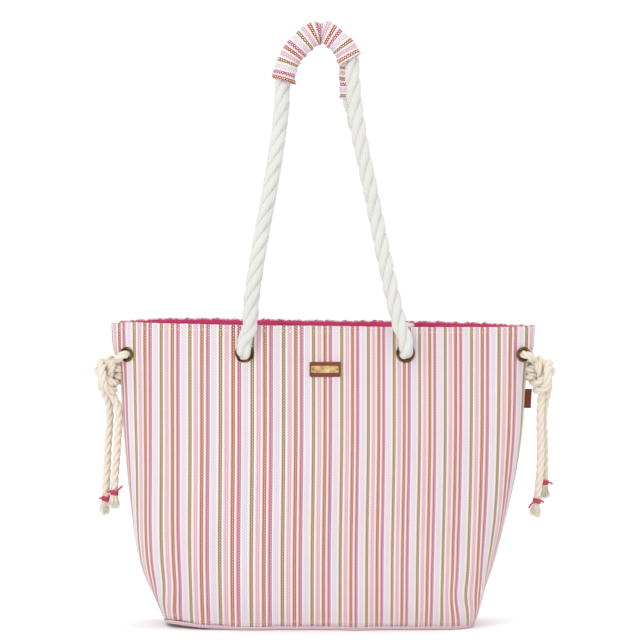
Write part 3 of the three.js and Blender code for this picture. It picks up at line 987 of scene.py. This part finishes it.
def rounded(profile, corner, steps=4):
    """A closed [radius, out] outline with its corners rounded."""
    points = np.array(profile, float)
    found = []
    for i, point in enumerate(points):
        before = points[i - 1] - point
        after = points[(i + 1) % len(points)] - point
        reach = min(corner, 0.45 * np.linalg.norm(before), 0.45 * np.linalg.norm(after))
        a = point + unit(before) * reach
        b = point + unit(after) * reach
        for t in np.linspace(0, 1, steps):
            found.append(tuple((1 - t) ** 2 * a + 2 * t * (1 - t) * point + t**2 * b))
    return found


def make_grommets(looks, places):
    """Eight rolled eyelets, each with the washer that clamps it inside."""
    for (face_name, side_name, kind), place in places.items():
        hole, barrel, flange, thick, lift, drop = GROMMETS[kind].values()
        under = -WALL_THICK - drop
        washer_low = under - 0.0008
        curl_top = washer_low - GAP
        crown = lift + thick
        eyelet = rounded([
            (hole, curl_top - 0.0008), (barrel + 0.0014, curl_top - 0.0008),
            (barrel + 0.0014, curl_top), (barrel, curl_top), (barrel, lift),
            (flange - 0.0004, lift - 0.0001), (flange, lift + 0.0005),
            (flange - 0.0009, lift + 0.72 * thick), (0.5 * (hole + flange), crown),
            (hole + 0.0006, crown - 0.0003), (hole, crown - 0.0012),
        ], 0.0006)
        washer = rounded([
            (barrel + GAP, washer_low), (flange - 0.0005, washer_low + 0.0002),
            (flange - 0.0005, under), (barrel + GAP, under),
        ], 0.0003)
        stem = f"{face_name}_{side_name}_{kind}"
        for profile, sides, name, node in ((eyelet, 56, "eyelet", "grommet"),
                                           (washer, 48, "eyelet_washer", "washer")):
            mesh = Mesh()
            lathe(mesh, profile, place, sides)
            mesh.piece(f"{stem}_{name}", looks["brass"], "bag", "antique_brass", f"{stem}_{node}")


def make_snap(looks):
    """The two halves of a magnetic snap, facing each other inside the mouth."""
    radius, post = 0.009, 0.0035
    for _, face in FACES:
        back = -(WALL_THICK + 0.0006)
        front = back - 0.0026
        rim = [(radius, front + 0.0006), (radius - 0.0005, front), (radius - 0.0022, front),
               (radius - 0.0026, front + 0.0004)]
        if face < 0:
            centre = [(post + 0.0007, front + 0.0004), (post + 0.0007, front + 0.0014)]
            centre.append((0.0001, front + 0.0014))
        else:
            centre = [(post, front + 0.0004), (post, front - 0.0008), (post - 0.0006, front - 0.0012)]
            centre.append((0.0001, front - 0.0012))
        profile = rounded([(0.0001, back), (radius, back)] + rim + centre, 0.0003)
        mesh = Mesh()
        lathe(mesh, profile, wall_frame(face, 0.0, SNAP_Z), 48)
        name, node = ("snap_well", "snap_socket") if face < 0 else ("snap_post", "snap_stud")
        mesh.piece(name, looks["snap"], "bag", "snap", node)


def rounded_outline(half_width, half_height, corner, per_corner=7):
    """The outline of a rounded oblong, anticlockwise."""
    points = []
    for quarter, (sx, sy) in enumerate(((1, 1), (-1, 1), (-1, -1), (1, -1))):
        centre = (sx * (half_width - corner), sy * (half_height - corner))
        for angle in np.linspace(quarter, quarter + 1, per_corner) * 0.5 * math.pi:
            points.append((centre[0] + corner * math.cos(angle), centre[1] + corner * math.sin(angle)))
    return np.array(points)


# How far the patch and its plate bow with the wall: this times the squared distance from their
# middle.
PATCH_BOW = 0.2


def plate_mesh(mesh, outline, levels, place):
    """A plate of stacked outlines [inset, height], bowed with the wall about its up direction."""
    origin, right, up, outward = place
    rings = []
    for inset, height in levels:
        shrink = 1 - inset / np.maximum(np.abs(outline).max(0), 1e-9)
        ring = outline * shrink
        lift = height - PATCH_BOW * ring[:, 0] ** 2
        rings.append(origin + ring[:, :1] * right + ring[:, 1:] * up + lift[:, None] * outward)
    u = np.linspace(0, 0.1, len(outline) + 1)
    mesh.add_grid(np.array(rings), u, np.linspace(0, 0.01, len(levels)), wrap=True)
    mesh.cap_ends(rings)


def make_patch(looks):
    """The leather patch with its stitched edge, and the plain brass plate pinned on it."""
    width, height, thick = 0.037, 0.018, 0.0016
    place = wall_frame(-1, 0.0, PATCH_Z)
    origin, right, up, outward = place
    back = 0.0003
    top = back + thick
    levels = [(0.0002, back), (0.0, back + 0.0003), (0.0, top - 0.0006), (0.0002, top - 0.0002),
              (0.0007, top), (0.0022, top), (0.0026, top - 0.00015), (0.0034, top - 0.0001),
              (0.0070, top)]
    patch = Mesh()
    plate_mesh(patch, rounded_outline(width / 2, height / 2, 0.0016), levels, place)
    patch.piece("leather_patch_piece", looks["leather"], "bag", "leather", "leather_patch")

    sewn = closed(rounded_outline(width / 2 - 0.0019, height / 2 - 0.0019, 0.0008))
    line = origin + sewn[:, :1] * right + sewn[:, 1:] * up + (top - 0.0001) * outward
    thread = Mesh()
    stitch_row(thread, line, outward, 0.0022, 0.0009, 0.00026, 0.0001)
    thread.piece("leather_patch_stitches", looks["brown_thread"], "bag", "leather", weld=False)
    make_plate(looks, place, top + GAP - 0.0001)


def make_plate(looks, place, low):
    """The brass plate with a fine groove round its face, and the two pins that hold it."""
    width, height, thick = 0.033, 0.0085, 0.0009
    high = low + thick
    levels = [(0.0001, low), (0.0, low + 0.0002), (0.0, high - 0.0003), (0.00025, high),
              (0.0008, high), (0.0010, high - 0.00022), (0.0015, high - 0.00022),
              (0.0030, high - 0.0002)]
    plate = Mesh()
    plate_mesh(plate, rounded_outline(width / 2, height / 2, 0.0011), levels, place)
    plate.piece("name_plate_piece", looks["plate"], "bag", "name_plate", "name_plate")

    origin, right, up, outward = place
    dome = rounded([(0.0001, high - 0.0006), (0.0010, high - 0.0006), (0.0009, high + 0.0001),
                    (0.0001, high + 0.0004)], 0.0003)
    pins = Mesh()
    for side in (-1, 1):
        lathe(pins, dome, (origin + side * 0.0142 * right, right, up, outward), 20)
    pins.piece("name_plate_pins", looks["brass"], "bag", "name_plate")


def make_label(looks):
    """A folded woven tab caught in the right side seam, sewn darker along its outer fold."""
    proud, low, high = 0.0080, 0.260, 0.283
    half = 0.0008
    section = [(-0.0030, 0.0003), (0.0, 0.0005)]
    for angle in np.linspace(0.3, math.pi - 0.3, 7):
        section.append((proud - 0.0008 + half * math.sin(angle), half * math.cos(angle)))
    section += [(0.0, -0.0005), (-0.0030, -0.0003)]
    heights = even(low, high, 0.0023)
    rings = []
    for height in heights:
        edge = plan_at(height)[0] + sway(height) + 0.0004
        curl = 0.0006 * math.sin((height - low) / (high - low) * math.pi)
        rings.append([(edge + x, y + curl * max(x, 0) / proud * 2, height) for x, y in section])
    rings = np.array(rings)
    mesh = Mesh()
    arc = arc_lengths(np.array([(x, y, 0) for x, y in section]))
    mesh.add_grid(rings, np.concatenate([arc, [arc[-1] + 0.0006]]), heights, wrap=True, flip=True)
    mesh.cap_ends(rings, flip=True)
    mesh.piece("side_label_tab", looks["label"], "bag", "label", "side_label")
    thread = Mesh()
    for face, index in ((-1, -3), (1, 3)):
        line = rings[:, index].copy()
        line[:, 0] -= 0.0012
        stitch_row(thread, line, np.array([0.0, float(face), 0.0]), 0.0018, 0.0006, 0.0003, 0.0)
    thread.piece("side_label_stitches", looks["brown_thread"], "bag", "label", weld=False)


# ------------------------------------------------------------------ ropes

def tighten(lines, diameter, ends, rounds, pull):
    """Draws loose ropes tight by their ends, never letting them pass through each other.

    lines are arrays of evenly spaced points; ends holds each line's two pull directions.
    """
    sizes = [len(line) for line in lines]
    p = np.vstack(lines)
    which = np.repeat(np.arange(len(lines)), sizes)
    starts = np.cumsum([0] + sizes[:-1])
    stops = starts + np.array(sizes) - 1
    spacing = np.mean([np.linalg.norm(np.diff(line, axis=0), axis=1).mean() for line in lines])
    linked = np.setdiff1d(np.arange(len(p) - 1), stops)
    inner = np.setdiff1d(np.arange(len(p)), np.concatenate([starts, stops]))
    apart = int(math.ceil(diameter / spacing)) + 1
    i, j = np.triu_indices(len(p), 1)
    free = (which[i] != which[j]) | (j - i > apart)
    i, j = i[free], j[free]
    for _ in range(rounds):
        for start, stop, (first, last) in zip(starts, stops, ends):
            p[start] += np.array(first) * pull
            p[stop] += np.array(last) * pull
        gap = p[j] - p[i]
        close = np.einsum("ij,ij->i", gap, gap) < (1.5 * diameter) ** 2
        ci, cj = i[close], j[close]
        for _ in range(6):
            for parity in (0, 1):
                a = linked[linked % 2 == parity]
                gap = p[a + 1] - p[a]
                length = np.linalg.norm(gap, axis=1)[:, None]
                mend = 0.5 * (length - spacing) / length * gap
                p[a] += mend
                p[a + 1] -= mend
            p[inner] += 0.06 * (0.5 * (p[inner - 1] + p[inner + 1]) - p[inner])
            gap = p[cj] - p[ci]
            length = np.linalg.norm(gap, axis=1)
            hit = length < diameter
            push = 0.5 * (diameter - length[hit])[:, None] * gap[hit] / length[hit][:, None]
            move = np.zeros_like(p)
            count = np.zeros(len(p))
            np.add.at(move, ci[hit], -push)
            np.add.at(move, cj[hit], push)
            np.add.at(count, ci[hit], 1)
            np.add.at(count, cj[hit], 1)
            p += 1.3 * move / np.maximum(count, 1)[:, None]
    return [p[start:stop + 1] for start, stop in zip(starts, stops)]


# The directions in which a knot's two ends are pulled.
UP_AND_DOWN = ((0.0, 0.0, 1.0), (0.0, 0.0, -1.0))


def overhand(size):
    """A loose overhand knot, coming in from above and leaving below."""
    t = np.linspace(math.pi + 0.6, 3 * math.pi - 0.6, 60)
    x = np.sin(t) + 2 * np.sin(2 * t)
    z = np.cos(t) - 2 * np.cos(2 * t)
    loops = np.column_stack([x, np.sin(3 * t), z])
    lead_in = [(0.5, -1, 12), (4.5, -1, 8), (5.8, -1, 0), (4.5, -1, -4.2), (2.0, -1, -4.0)]
    lead_out = [(-1.2, 1, -4), (-1.0, 1, -8), (-0.5, 0.5, -14)]
    return np.vstack([lead_in, loops, lead_out]) * size


def knotted_zone(lines, reach):
    """The middle of the knot: the mean of the points that have another pass of rope close by."""
    p = np.vstack(lines)
    distance = np.linalg.norm(p[:, None] - p[None], axis=2)
    crowd = (distance < reach).sum(1)
    return np.average(p, axis=0, weights=(crowd - crowd.min()) ** 2.0)


def tie_knot_lines():
    """Two ropes side by side, tied together in one overhand knot about the origin."""
    diameter = 2 * TIE_ROPE
    loose = smooth_line(overhand(0.006), 0.003)
    tangent = unit(np.gradient(loose, axis=0))
    beside = unit(np.cross(tangent, [0.0, 1.0, 0.0])) * 0.52 * diameter
    pair = [smooth_line((loose + side * beside)[::3], 0.0032) for side in (1, -1)]
    tight = tighten(pair, 0.96 * diameter, [UP_AND_DOWN] * 2, 450, 0.0008)
    middle = knotted_zone(tight, 1.6 * diameter)
    return [line - middle for line in tight]


def stopper_knot_line(radius):
    """One rope tied in an overhand knot about the origin, coming in from above."""
    diameter = 2 * radius
    loose = smooth_line(overhand(0.68 * diameter), 0.35 * diameter)
    tight = tighten([loose], 0.92 * diameter, [UP_AND_DOWN], 450, 0.0012)
    return tight[0] - knotted_zone(tight, 1.6 * diameter)


def trim(line, low, high):
    """The run of a line whose points stay between two heights, cut at its free ends."""
    inside = np.where((line[:, 2] > low) & (line[:, 2] < high))[0]
    return line[inside[0]:inside[-1] + 1]


# The handle's centreline seen from the front as [x, z], from above the left grommet to above
# the right one.
HANDLE_ROUTE = [
    (-0.091, 0.356), (-0.088, 0.392), (-0.079, 0.452), (-0.068, 0.512), (-0.058, 0.572),
    (-0.052, 0.620), (-0.050, 0.654), (-0.041, 0.681), (-0.020, 0.704), (-0.006, 0.711),
    (0.009, 0.705), (0.021, 0.694), (0.030, 0.679), (0.033, 0.656), (0.035, 0.632),
    (0.044, 0.572), (0.054, 0.524), (0.071, 0.440), (0.079, 0.404), (0.088, 0.366),
]
# The first and last of those points that each sleeve covers: the rear one has slid to the right.
SLEEVE_SPANS = {"front": (6, 12), "rear": (8, 14)}
APEX = 9
HANDLE_TOP_DEPTH = 0.016
HANDLE_TOP = 0.711
HANDLE_PIVOT_OUT = 0.011
REAR_RIGHT_LEG_IN = 0.005
BOW_START = 0.6


def handle_line(face, places):
    """The handle's route between its two pivots, as in the frame, and the sleeve's share of it."""
    name = "front" if face < 0 else "rear"
    pivots = []
    for side in ("left", "right"):
        origin, _, _, outward = places[name, side, "handle"]
        pivots.append(origin + outward * HANDLE_PIVOT_OUT)
    low_y, low_z = pivots[0][1], pivots[0][2]
    points = []
    for x, z in HANDLE_ROUTE:
        rise = (z - low_z) / (HANDLE_TOP - low_z)
        leg_in = 0.0
        if face > 0 and x >= 0 and rise > BOW_START:
            leg_in = REAR_RIGHT_LEG_IN * math.sin(math.pi * (rise - BOW_START) / (1 - BOW_START)) ** 2
        points.append((x - leg_in, low_y + rise * (face * HANDLE_TOP_DEPTH - low_y), z))
    return pivots, np.array(points)


def make_handle(looks, places, name, face):
    """One handle: its rope from stopper knot to stopper knot, and the sleeve on its top."""
    pivots, route = handle_line(face, places)
    ends = []
    for side, pivot in zip(("left", "right"), pivots):
        origin, _, up, outward = places[name, side, "handle"]
        # From inside the bag straight out through the hole, then round an elbow and up.
        end = [origin + outward * out for out in (-0.019, -0.009, 0.001)]
        end += [origin + outward * 0.0092 + up * 0.0012, pivot + np.array([0, 0, 0.0115])]
        ends.append(end)
    line = smooth_line(np.vstack([ends[0], route, ends[1][::-1]]), 0.0024)
    squeeze = np.ones(len(line))
    arc = arc_lengths(line)
    for end_arc in (0.016, arc[-1] - 0.016):
        squeeze -= 0.20 * hump(arc, end_arc, 0.010)
    mesh = Mesh()
    add_rope(mesh, line, HANDLE_ROPE, HANDLE_PITCH, 24, turn=0.9 + face, taper=squeeze)
    rope = mesh.make(f"{name}_handle_twisted_rope", looks["rope"], weld=False)
    end = (0.0, face * 0.0500, 0.3500)
    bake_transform(rope)
    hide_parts(f"{name}_handle_rope")
    make_sleeve(looks, name, face, route)
    make_stopper_knots(looks, places, name)


def sleeve_radius(face, along, turn, length, crease_at):
    """The sleeve's radius, by distance and by angle: soft folds, full ends and a deep crease."""
    beyond = along - crease_at - 0.0016 * np.cos(turn)
    radius = 0.0137 + 0.0005 * np.sin(2 * turn + along * 90)
    if face > 0:
        # The rear sleeve lies flatter where it has slid down its right leg.
        radius = radius - 0.0016 * ease(along - crease_at, 0.01, 0.04)
    radius = radius + 0.0004 * np.sin(5 * turn - along * 260)
    for height, value, middle, width in (
        (0.0007, along, 0.0, 0.010), (0.0007, along, length, 0.010), (-0.0034, beyond, 0.0, 0.0022),
        (0.0009, beyond, 0.006, 0.0035), (0.0009, beyond, -0.006, 0.0035),
    ):
        radius = radius + height * hump(value, middle, width)
    return radius


def make_sleeve(looks, name, face, route):
    """The canvas sleeve: a seamed tube with its ends turned under, creased where it bends most."""
    first, last = SLEEVE_SPANS[name]
    line = smooth_line(route[first:last + 1], 0.0015)
    arc = arc_lengths(line)
    tangent, normal, binormal = line_frames(line, (0.0, face, 0.0))
    sides = 56
    turn = np.linspace(0, 2 * math.pi, sides, endpoint=False)[None, :]
    along = arc[:, None]
    crease_at = arc[np.argmin(np.linalg.norm(line - route[APEX], axis=1))]
    around = np.cos(turn)[..., None] * normal[:, None] + np.sin(turn)[..., None] * binormal[:, None]

    # The inner side of the bend is the side that faces the middle of the handle's loop.
    inward = unit(np.array([0.0, line[:, 1].mean(), 0.62]) - line)
    toward = np.einsum("rsk,rk->rs", around, inward)
    facing = np.clip(toward, 0, 1)
    pucker = facing**2 * (0.0011 * np.sin(along * 2 * math.pi / 0.0135 + turn))
    radius = sleeve_radius(face, along, turn, arc[-1], crease_at) + pucker - 0.0008 * facing**2
    radius = radius + 0.0009 * ease(toward, 0.90, 0.97)

    thick = 0.0013
    hem = []
    for row, sign in ((0, -1), (-1, 1)):
        edge = line[row] + around[row] * (radius[row] - 0.5 * thick)[:, None]
        hem.append(edge + sign * 0.0005 * tangent[row])
    jump = np.where(arc > crease_at, 0.40 * STRIPE_PERIOD, 0.0)
    cloth = arc + jump + 0.355 * STRIPE_PERIOD
    # The distance across the stripes runs along the rope, so that they go round it.
    cloth = np.concatenate([[cloth[0] - 0.0006], cloth, [cloth[-1] + 0.0006]])[:, None]
    girth = np.tile(np.linspace(0, 0.088, sides + 1), (len(cloth), 1))
    mesh = Mesh()
    for depth, flip in ((0.0, False), (thick, True)):
        skin = line[:, None] + around * (radius - depth)[..., None]
        mesh.add_grid(np.vstack([hem[:1], skin, hem[1:]]), cloth, girth, wrap=True, flip=flip)
    mesh.piece(f"{name}_sleeve_canvas", looks["canvas"], f"{name}_handle", "striped_canvas",
               f"{name}_handle_sleeve")

    surface = line[:, None] + around * (radius + 0.0001)[..., None]
    thread = Mesh()
    for row in (3, len(line) - 4):
        stitch_row(thread, closed(surface[row]), closed(around[row]), 0.0026, 0.0011, 0.0003)
    seam = (int(np.argmax(toward[len(line) // 3])) + 3) % sides
    stitch_row(thread, surface[2:-2, seam], around[2:-2, seam], 0.0026, 0.0011, 0.0003)
    thread.piece(f"{name}_sleeve_stitches", looks["cream_thread"], f"{name}_handle",
                 "striped_canvas", weld=False)


def make_stopper_knots(looks, places, name):
    """The knots that hold a handle's ends inside the bag."""
    radius = 0.0058
    knot = trim(stopper_knot_line(radius), -0.024, 0.017)
    for side_name, side in SIDES:
        origin, right, up, outward = places[name, side_name, "handle"]
        # The knot's own up runs out through the hole, and its free end points into the bag.
        middle = origin - outward * 0.0195 - up * 0.002
        placed = middle + side * knot[:, :1] * up + knot[:, 1:2] * right + knot[:, 2:] * outward * 0.62
        lead = [origin - outward * 0.0005]
        line = smooth_line(np.vstack([lead, placed[2::3]]), 0.0022)
        mesh = Mesh()
        taper = np.ones(len(line))
        taper[:4] = np.linspace(1.35, 1.0, 4)
        add_rope(mesh, line, radius, 0.75 * HANDLE_PITCH, 18, taper=taper)
        stem = f"{name}_{side_name}_stopper"
        mesh.piece(f"{stem}_rope", looks["rope"], "bag", "rope", f"{stem}_knot", weld=False)


# Each tail's route from its pivot under the knot to its end.
TAILS = {
    "left_front": [(-0.251, -0.0075, 0.284), (-0.2485, -0.008, 0.262), (-0.2495, -0.008, 0.215),
                   (-0.2525, -0.0075, 0.175), (-0.2535, -0.0075, 0.155)],
    "left_rear": [(-0.2595, 0.006, 0.279), (-0.2595, 0.0065, 0.262), (-0.2615, 0.0065, 0.210),
                  (-0.2635, 0.006, 0.165), (-0.2645, 0.006, 0.146)],
    "right_front": [(0.258, -0.0075, 0.279), (0.2585, -0.008, 0.255), (0.259, -0.008, 0.205),
                    (0.257, -0.0075, 0.170), (0.254, -0.0075, 0.145)],
    "right_rear": [(0.263, 0.006, 0.279), (0.263, 0.0065, 0.255), (0.264, 0.0065, 0.215),
                   (0.2645, 0.0065, 0.185), (0.264, 0.006, 0.166)],
}
TIE_KNOT = (0.262, 0.0, 0.304)
# Where each tie's rope runs inside the bag and where it enters the top of its knot, for the
# right rear; how far the knot is turned about the upright, and how much narrower it is drawn.
TIE_INSIDE = (0.229, 0.0006, TIE_Z)
TIE_INTO_KNOT = (0.2475, 0.0200, TIE_Z - 0.004)
TIE_SLANT = math.radians(60)
TIE_NARROW = 0.86


def make_ties(looks, places):
    """Both side ties: a rope in through the front grommet and out through the rear one,
    its two ends knotted together outside."""
    pair = tie_knot_lines()
    cos, sin = math.cos(TIE_SLANT), math.sin(TIE_SLANT)
    for side_name, side in SIDES:
        lines = []
        for local in pair:
            x = local[:, 0] * cos - local[:, 1] * sin
            y = local[:, 0] * sin + local[:, 1] * cos
            placed = np.column_stack([-side * (x + 0.0070), y - 0.003, local[:, 2]])
            lines.append(placed * [TIE_NARROW, 1, 1] + np.array(TIE_KNOT) * [side, 1, 1])
        knot_mesh = Mesh()
        for (face_name, face), line in zip(FACES, lines):
            origin, _, _, outward = places[face_name, side_name, "tie"]
            lead = [np.array(TIE_INSIDE) * [side, face, 1]]
            lead += [origin + outward * out for out in (-0.005, 0.002, 0.0085)]
            lead.append(np.array(TIE_INTO_KNOT) * [side, face, 1])
            knot = trim(line, TIE_KNOT[2] - 0.0165, TIE_KNOT[2] + 0.0175)
            whole = smooth_line(np.vstack([lead, knot[1::3]]), 0.0016)
            add_rope(knot_mesh, whole, TIE_ROPE, TIE_PITCH, 12, turn=face)
            lower = line[np.max(np.where(line[:, 2] > TIE_KNOT[2] - 0.006)):]
            lower = lower[lower[:, 2] > TIE_KNOT[2] - 0.0185]
            make_tail(looks, f"{side_name}_{face_name}", lower)
        knot_mesh.piece(f"{side_name}_knotted_tie", looks["tie_rope"], "bag", "rope",
                        f"{side_name}_tie_rope", f"{side_name}_tie_knot", weld=False)


def make_tail(looks, name, lead):
    """One tail of a tie: its rope out of the knot, its pink whipping and its frayed end."""
    route = TAILS[name]
    line = smooth_line(np.vstack([lead[::2], route[1:]]), 0.0016)
    arc = arc_lengths(line)
    taper = 1.0 - 0.10 * hump(arc, arc[-1] - 0.004, 0.004)
    mesh = Mesh()
    add_rope(mesh, line, TIE_ROPE, TIE_PITCH, 14, turn=len(name), taper=taper)
    rope = mesh.make(f"{name}_tail_twisted_rope", looks["tie_rope"], weld=False)
    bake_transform(rope)
    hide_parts(f"{name}_tail_rope")
    end = line[-1]
    down = unit(line[-1] - line[-4])
    whipping = make_whipping(looks, name, line, arc)
    tassel = make_tassel(looks, name, end, down)


def make_whipping(looks, name, line, arc):
    """Pink thread wound round the tail's end and knotted, with two short loose ends."""
    _, normal, binormal = line_frames(line)
    turns = 6
    low, high = arc[-1] - 0.0065, arc[-1] - 0.0012
    steps = np.linspace(0, 1, turns * 20)
    at = low + (high - low) * steps
    centre, n, b = (read_line(at, arc, rows) for rows in (line, normal, binormal))
    angle = 2 * math.pi * turns * steps
    radius = TIE_ROPE * (0.93 + 0.03 * np.sin(3 * angle))[:, None]
    coil = centre + radius * (np.cos(angle)[:, None] * n + np.sin(angle)[:, None] * b)
    mesh = Mesh()
    add_tube(mesh, coil, 0.0008, 8)
    front = centre[len(centre) // 2] + np.array([0.0, -TIE_ROPE + 0.0002, 0.0])
    seed = sum(ord(letter) for letter in name)
    lean = 0.5 if "left" in name else -0.5
    bow = front + np.array([
        (-0.0022, 0.0, 0.0006), (-0.001, -0.0012, 0.0015), (0.0012, -0.0010, -0.0010),
        (0.0022, 0.0, 0.0004), (0.0005, -0.0014, 0.0012), (-0.0016, -0.0010, -0.0012),
    ])
    add_tube(mesh, smooth_line(bow, 0.0004), 0.0010, 8)
    for sign in (-1, 1):
        reach = 0.0088 + 0.0012 * math.sin(seed + sign)
        tip = np.array([sign * reach, -0.0012, reach * (0.35 * sign + lean)])
        bend = np.array([sign * 0.5 * reach, -0.0012, 0.3 * tip[2] + 0.0010])
        loose = smooth_line([front, front + bend, front + tip], 0.0005)
        add_tube(mesh, loose, np.linspace(0.0009, 0.0012, len(loose)), 8)
    return mesh.piece(f"{name}_tail_pink_thread", looks["pink_thread"], f"{name}_tail",
                      "whipping_thread", f"{name}_tail_whipping", weld=False)


# How flat a tassel is from front to back, so that it clears the other tail when both swing out.
TASSEL_FLAT = 0.7


def make_tassel(looks, name, end, down):
    """The tail's frayed end: its fibres opened out into a small brush."""
    rng = np.random.default_rng(sum(ord(letter) for letter in name))
    side = unit(np.cross(down, [0.0, 1.0, 0.0]))
    other = np.cross(down, side)
    mesh = Mesh()
    for _ in range(120):
        angle = rng.uniform(0, 2 * math.pi)
        out = TIE_ROPE * math.sqrt(rng.uniform(0, 1))
        spread = out * rng.uniform(1.0, 1.45)
        length = rng.uniform(0.0115, 0.0158)
        away = math.cos(angle) * side + TASSEL_FLAT * math.sin(angle) * other
        sway_by = rng.normal(0, 0.0009, 3) * [1.0, 0.4, 1.0]
        points = [
            end - down * 0.0015 + away * out * 0.85,
            end + down * 0.3 * length + away * (out + 0.35 * (spread - out)) + 0.3 * sway_by,
            end + down * 0.7 * length + away * spread + sway_by,
            end + down * length + away * spread * 1.02 + 1.7 * sway_by,
        ]
        fibre = smooth_line(points, 0.0022)
        add_tube(mesh, fibre, np.linspace(0.00042, 0.00022, len(fibre)), 5)
    return mesh.piece(f"{name}_tail_tassel", looks["frayed"], f"{name}_tail", "rope",
                      f"{name}_tail_fray", weld=False)


# ------------------------------------------------------------------ the bag

def make_looks():
    return {
        "canvas": striped_canvas(),
        "lining": plain_weave("lining_pink", paint(242, 84, 142), paint(226, 62, 122), 0.0009),
        "rope": rope_fibre("cotton_rope", paint(220, 220, 217), paint(205, 204, 199)),
        "tie_rope": rope_fibre("tie_rope", paint(231, 223, 209), paint(219, 207, 188), 5.0, 0.008),
        "frayed": rope_fibre("frayed_cotton", paint(255, 250, 236), paint(250, 240, 216), 3.0, 0.02),
        "brass": antique_brass("antique_brass", paint(150, 118, 66), paint(66, 50, 30)),
        "plate": antique_brass("plate_brass", paint(232, 204, 150), paint(186, 150, 96)),
        "snap": antique_brass("snap_metal", paint(206, 192, 160), paint(150, 136, 108), 0.2, 0.4),
        "leather": brown_leather(),
        "label": plain_weave("label_weave", paint(158, 72, 52), paint(120, 48, 36), 0.0006),
        "pink_thread": spun_thread("pink_thread", paint(226, 74, 118), paint(176, 40, 82)),
        "pink_sewing": spun_thread("pink_sewing", paint(240, 90, 145), paint(200, 50, 105)),
        "cream_thread": spun_thread("cream_thread", paint(250, 244, 236), paint(226, 216, 202)),
        "brown_thread": spun_thread("brown_thread", paint(112, 60, 40), paint(70, 36, 26)),
    }


make_camera()
looks = make_looks()
make_studio()
places = grommet_frames()
make_ties(looks, places)
for handle_name, handle_face in FACES:
    make_handle(looks, places, handle_name, handle_face)
make_shell(looks, places)
make_base(looks)
make_base_lining(looks)
make_pocket(looks)
make_grommets(looks, places)
make_snap(looks)
make_patch(looks)
make_label(looks)
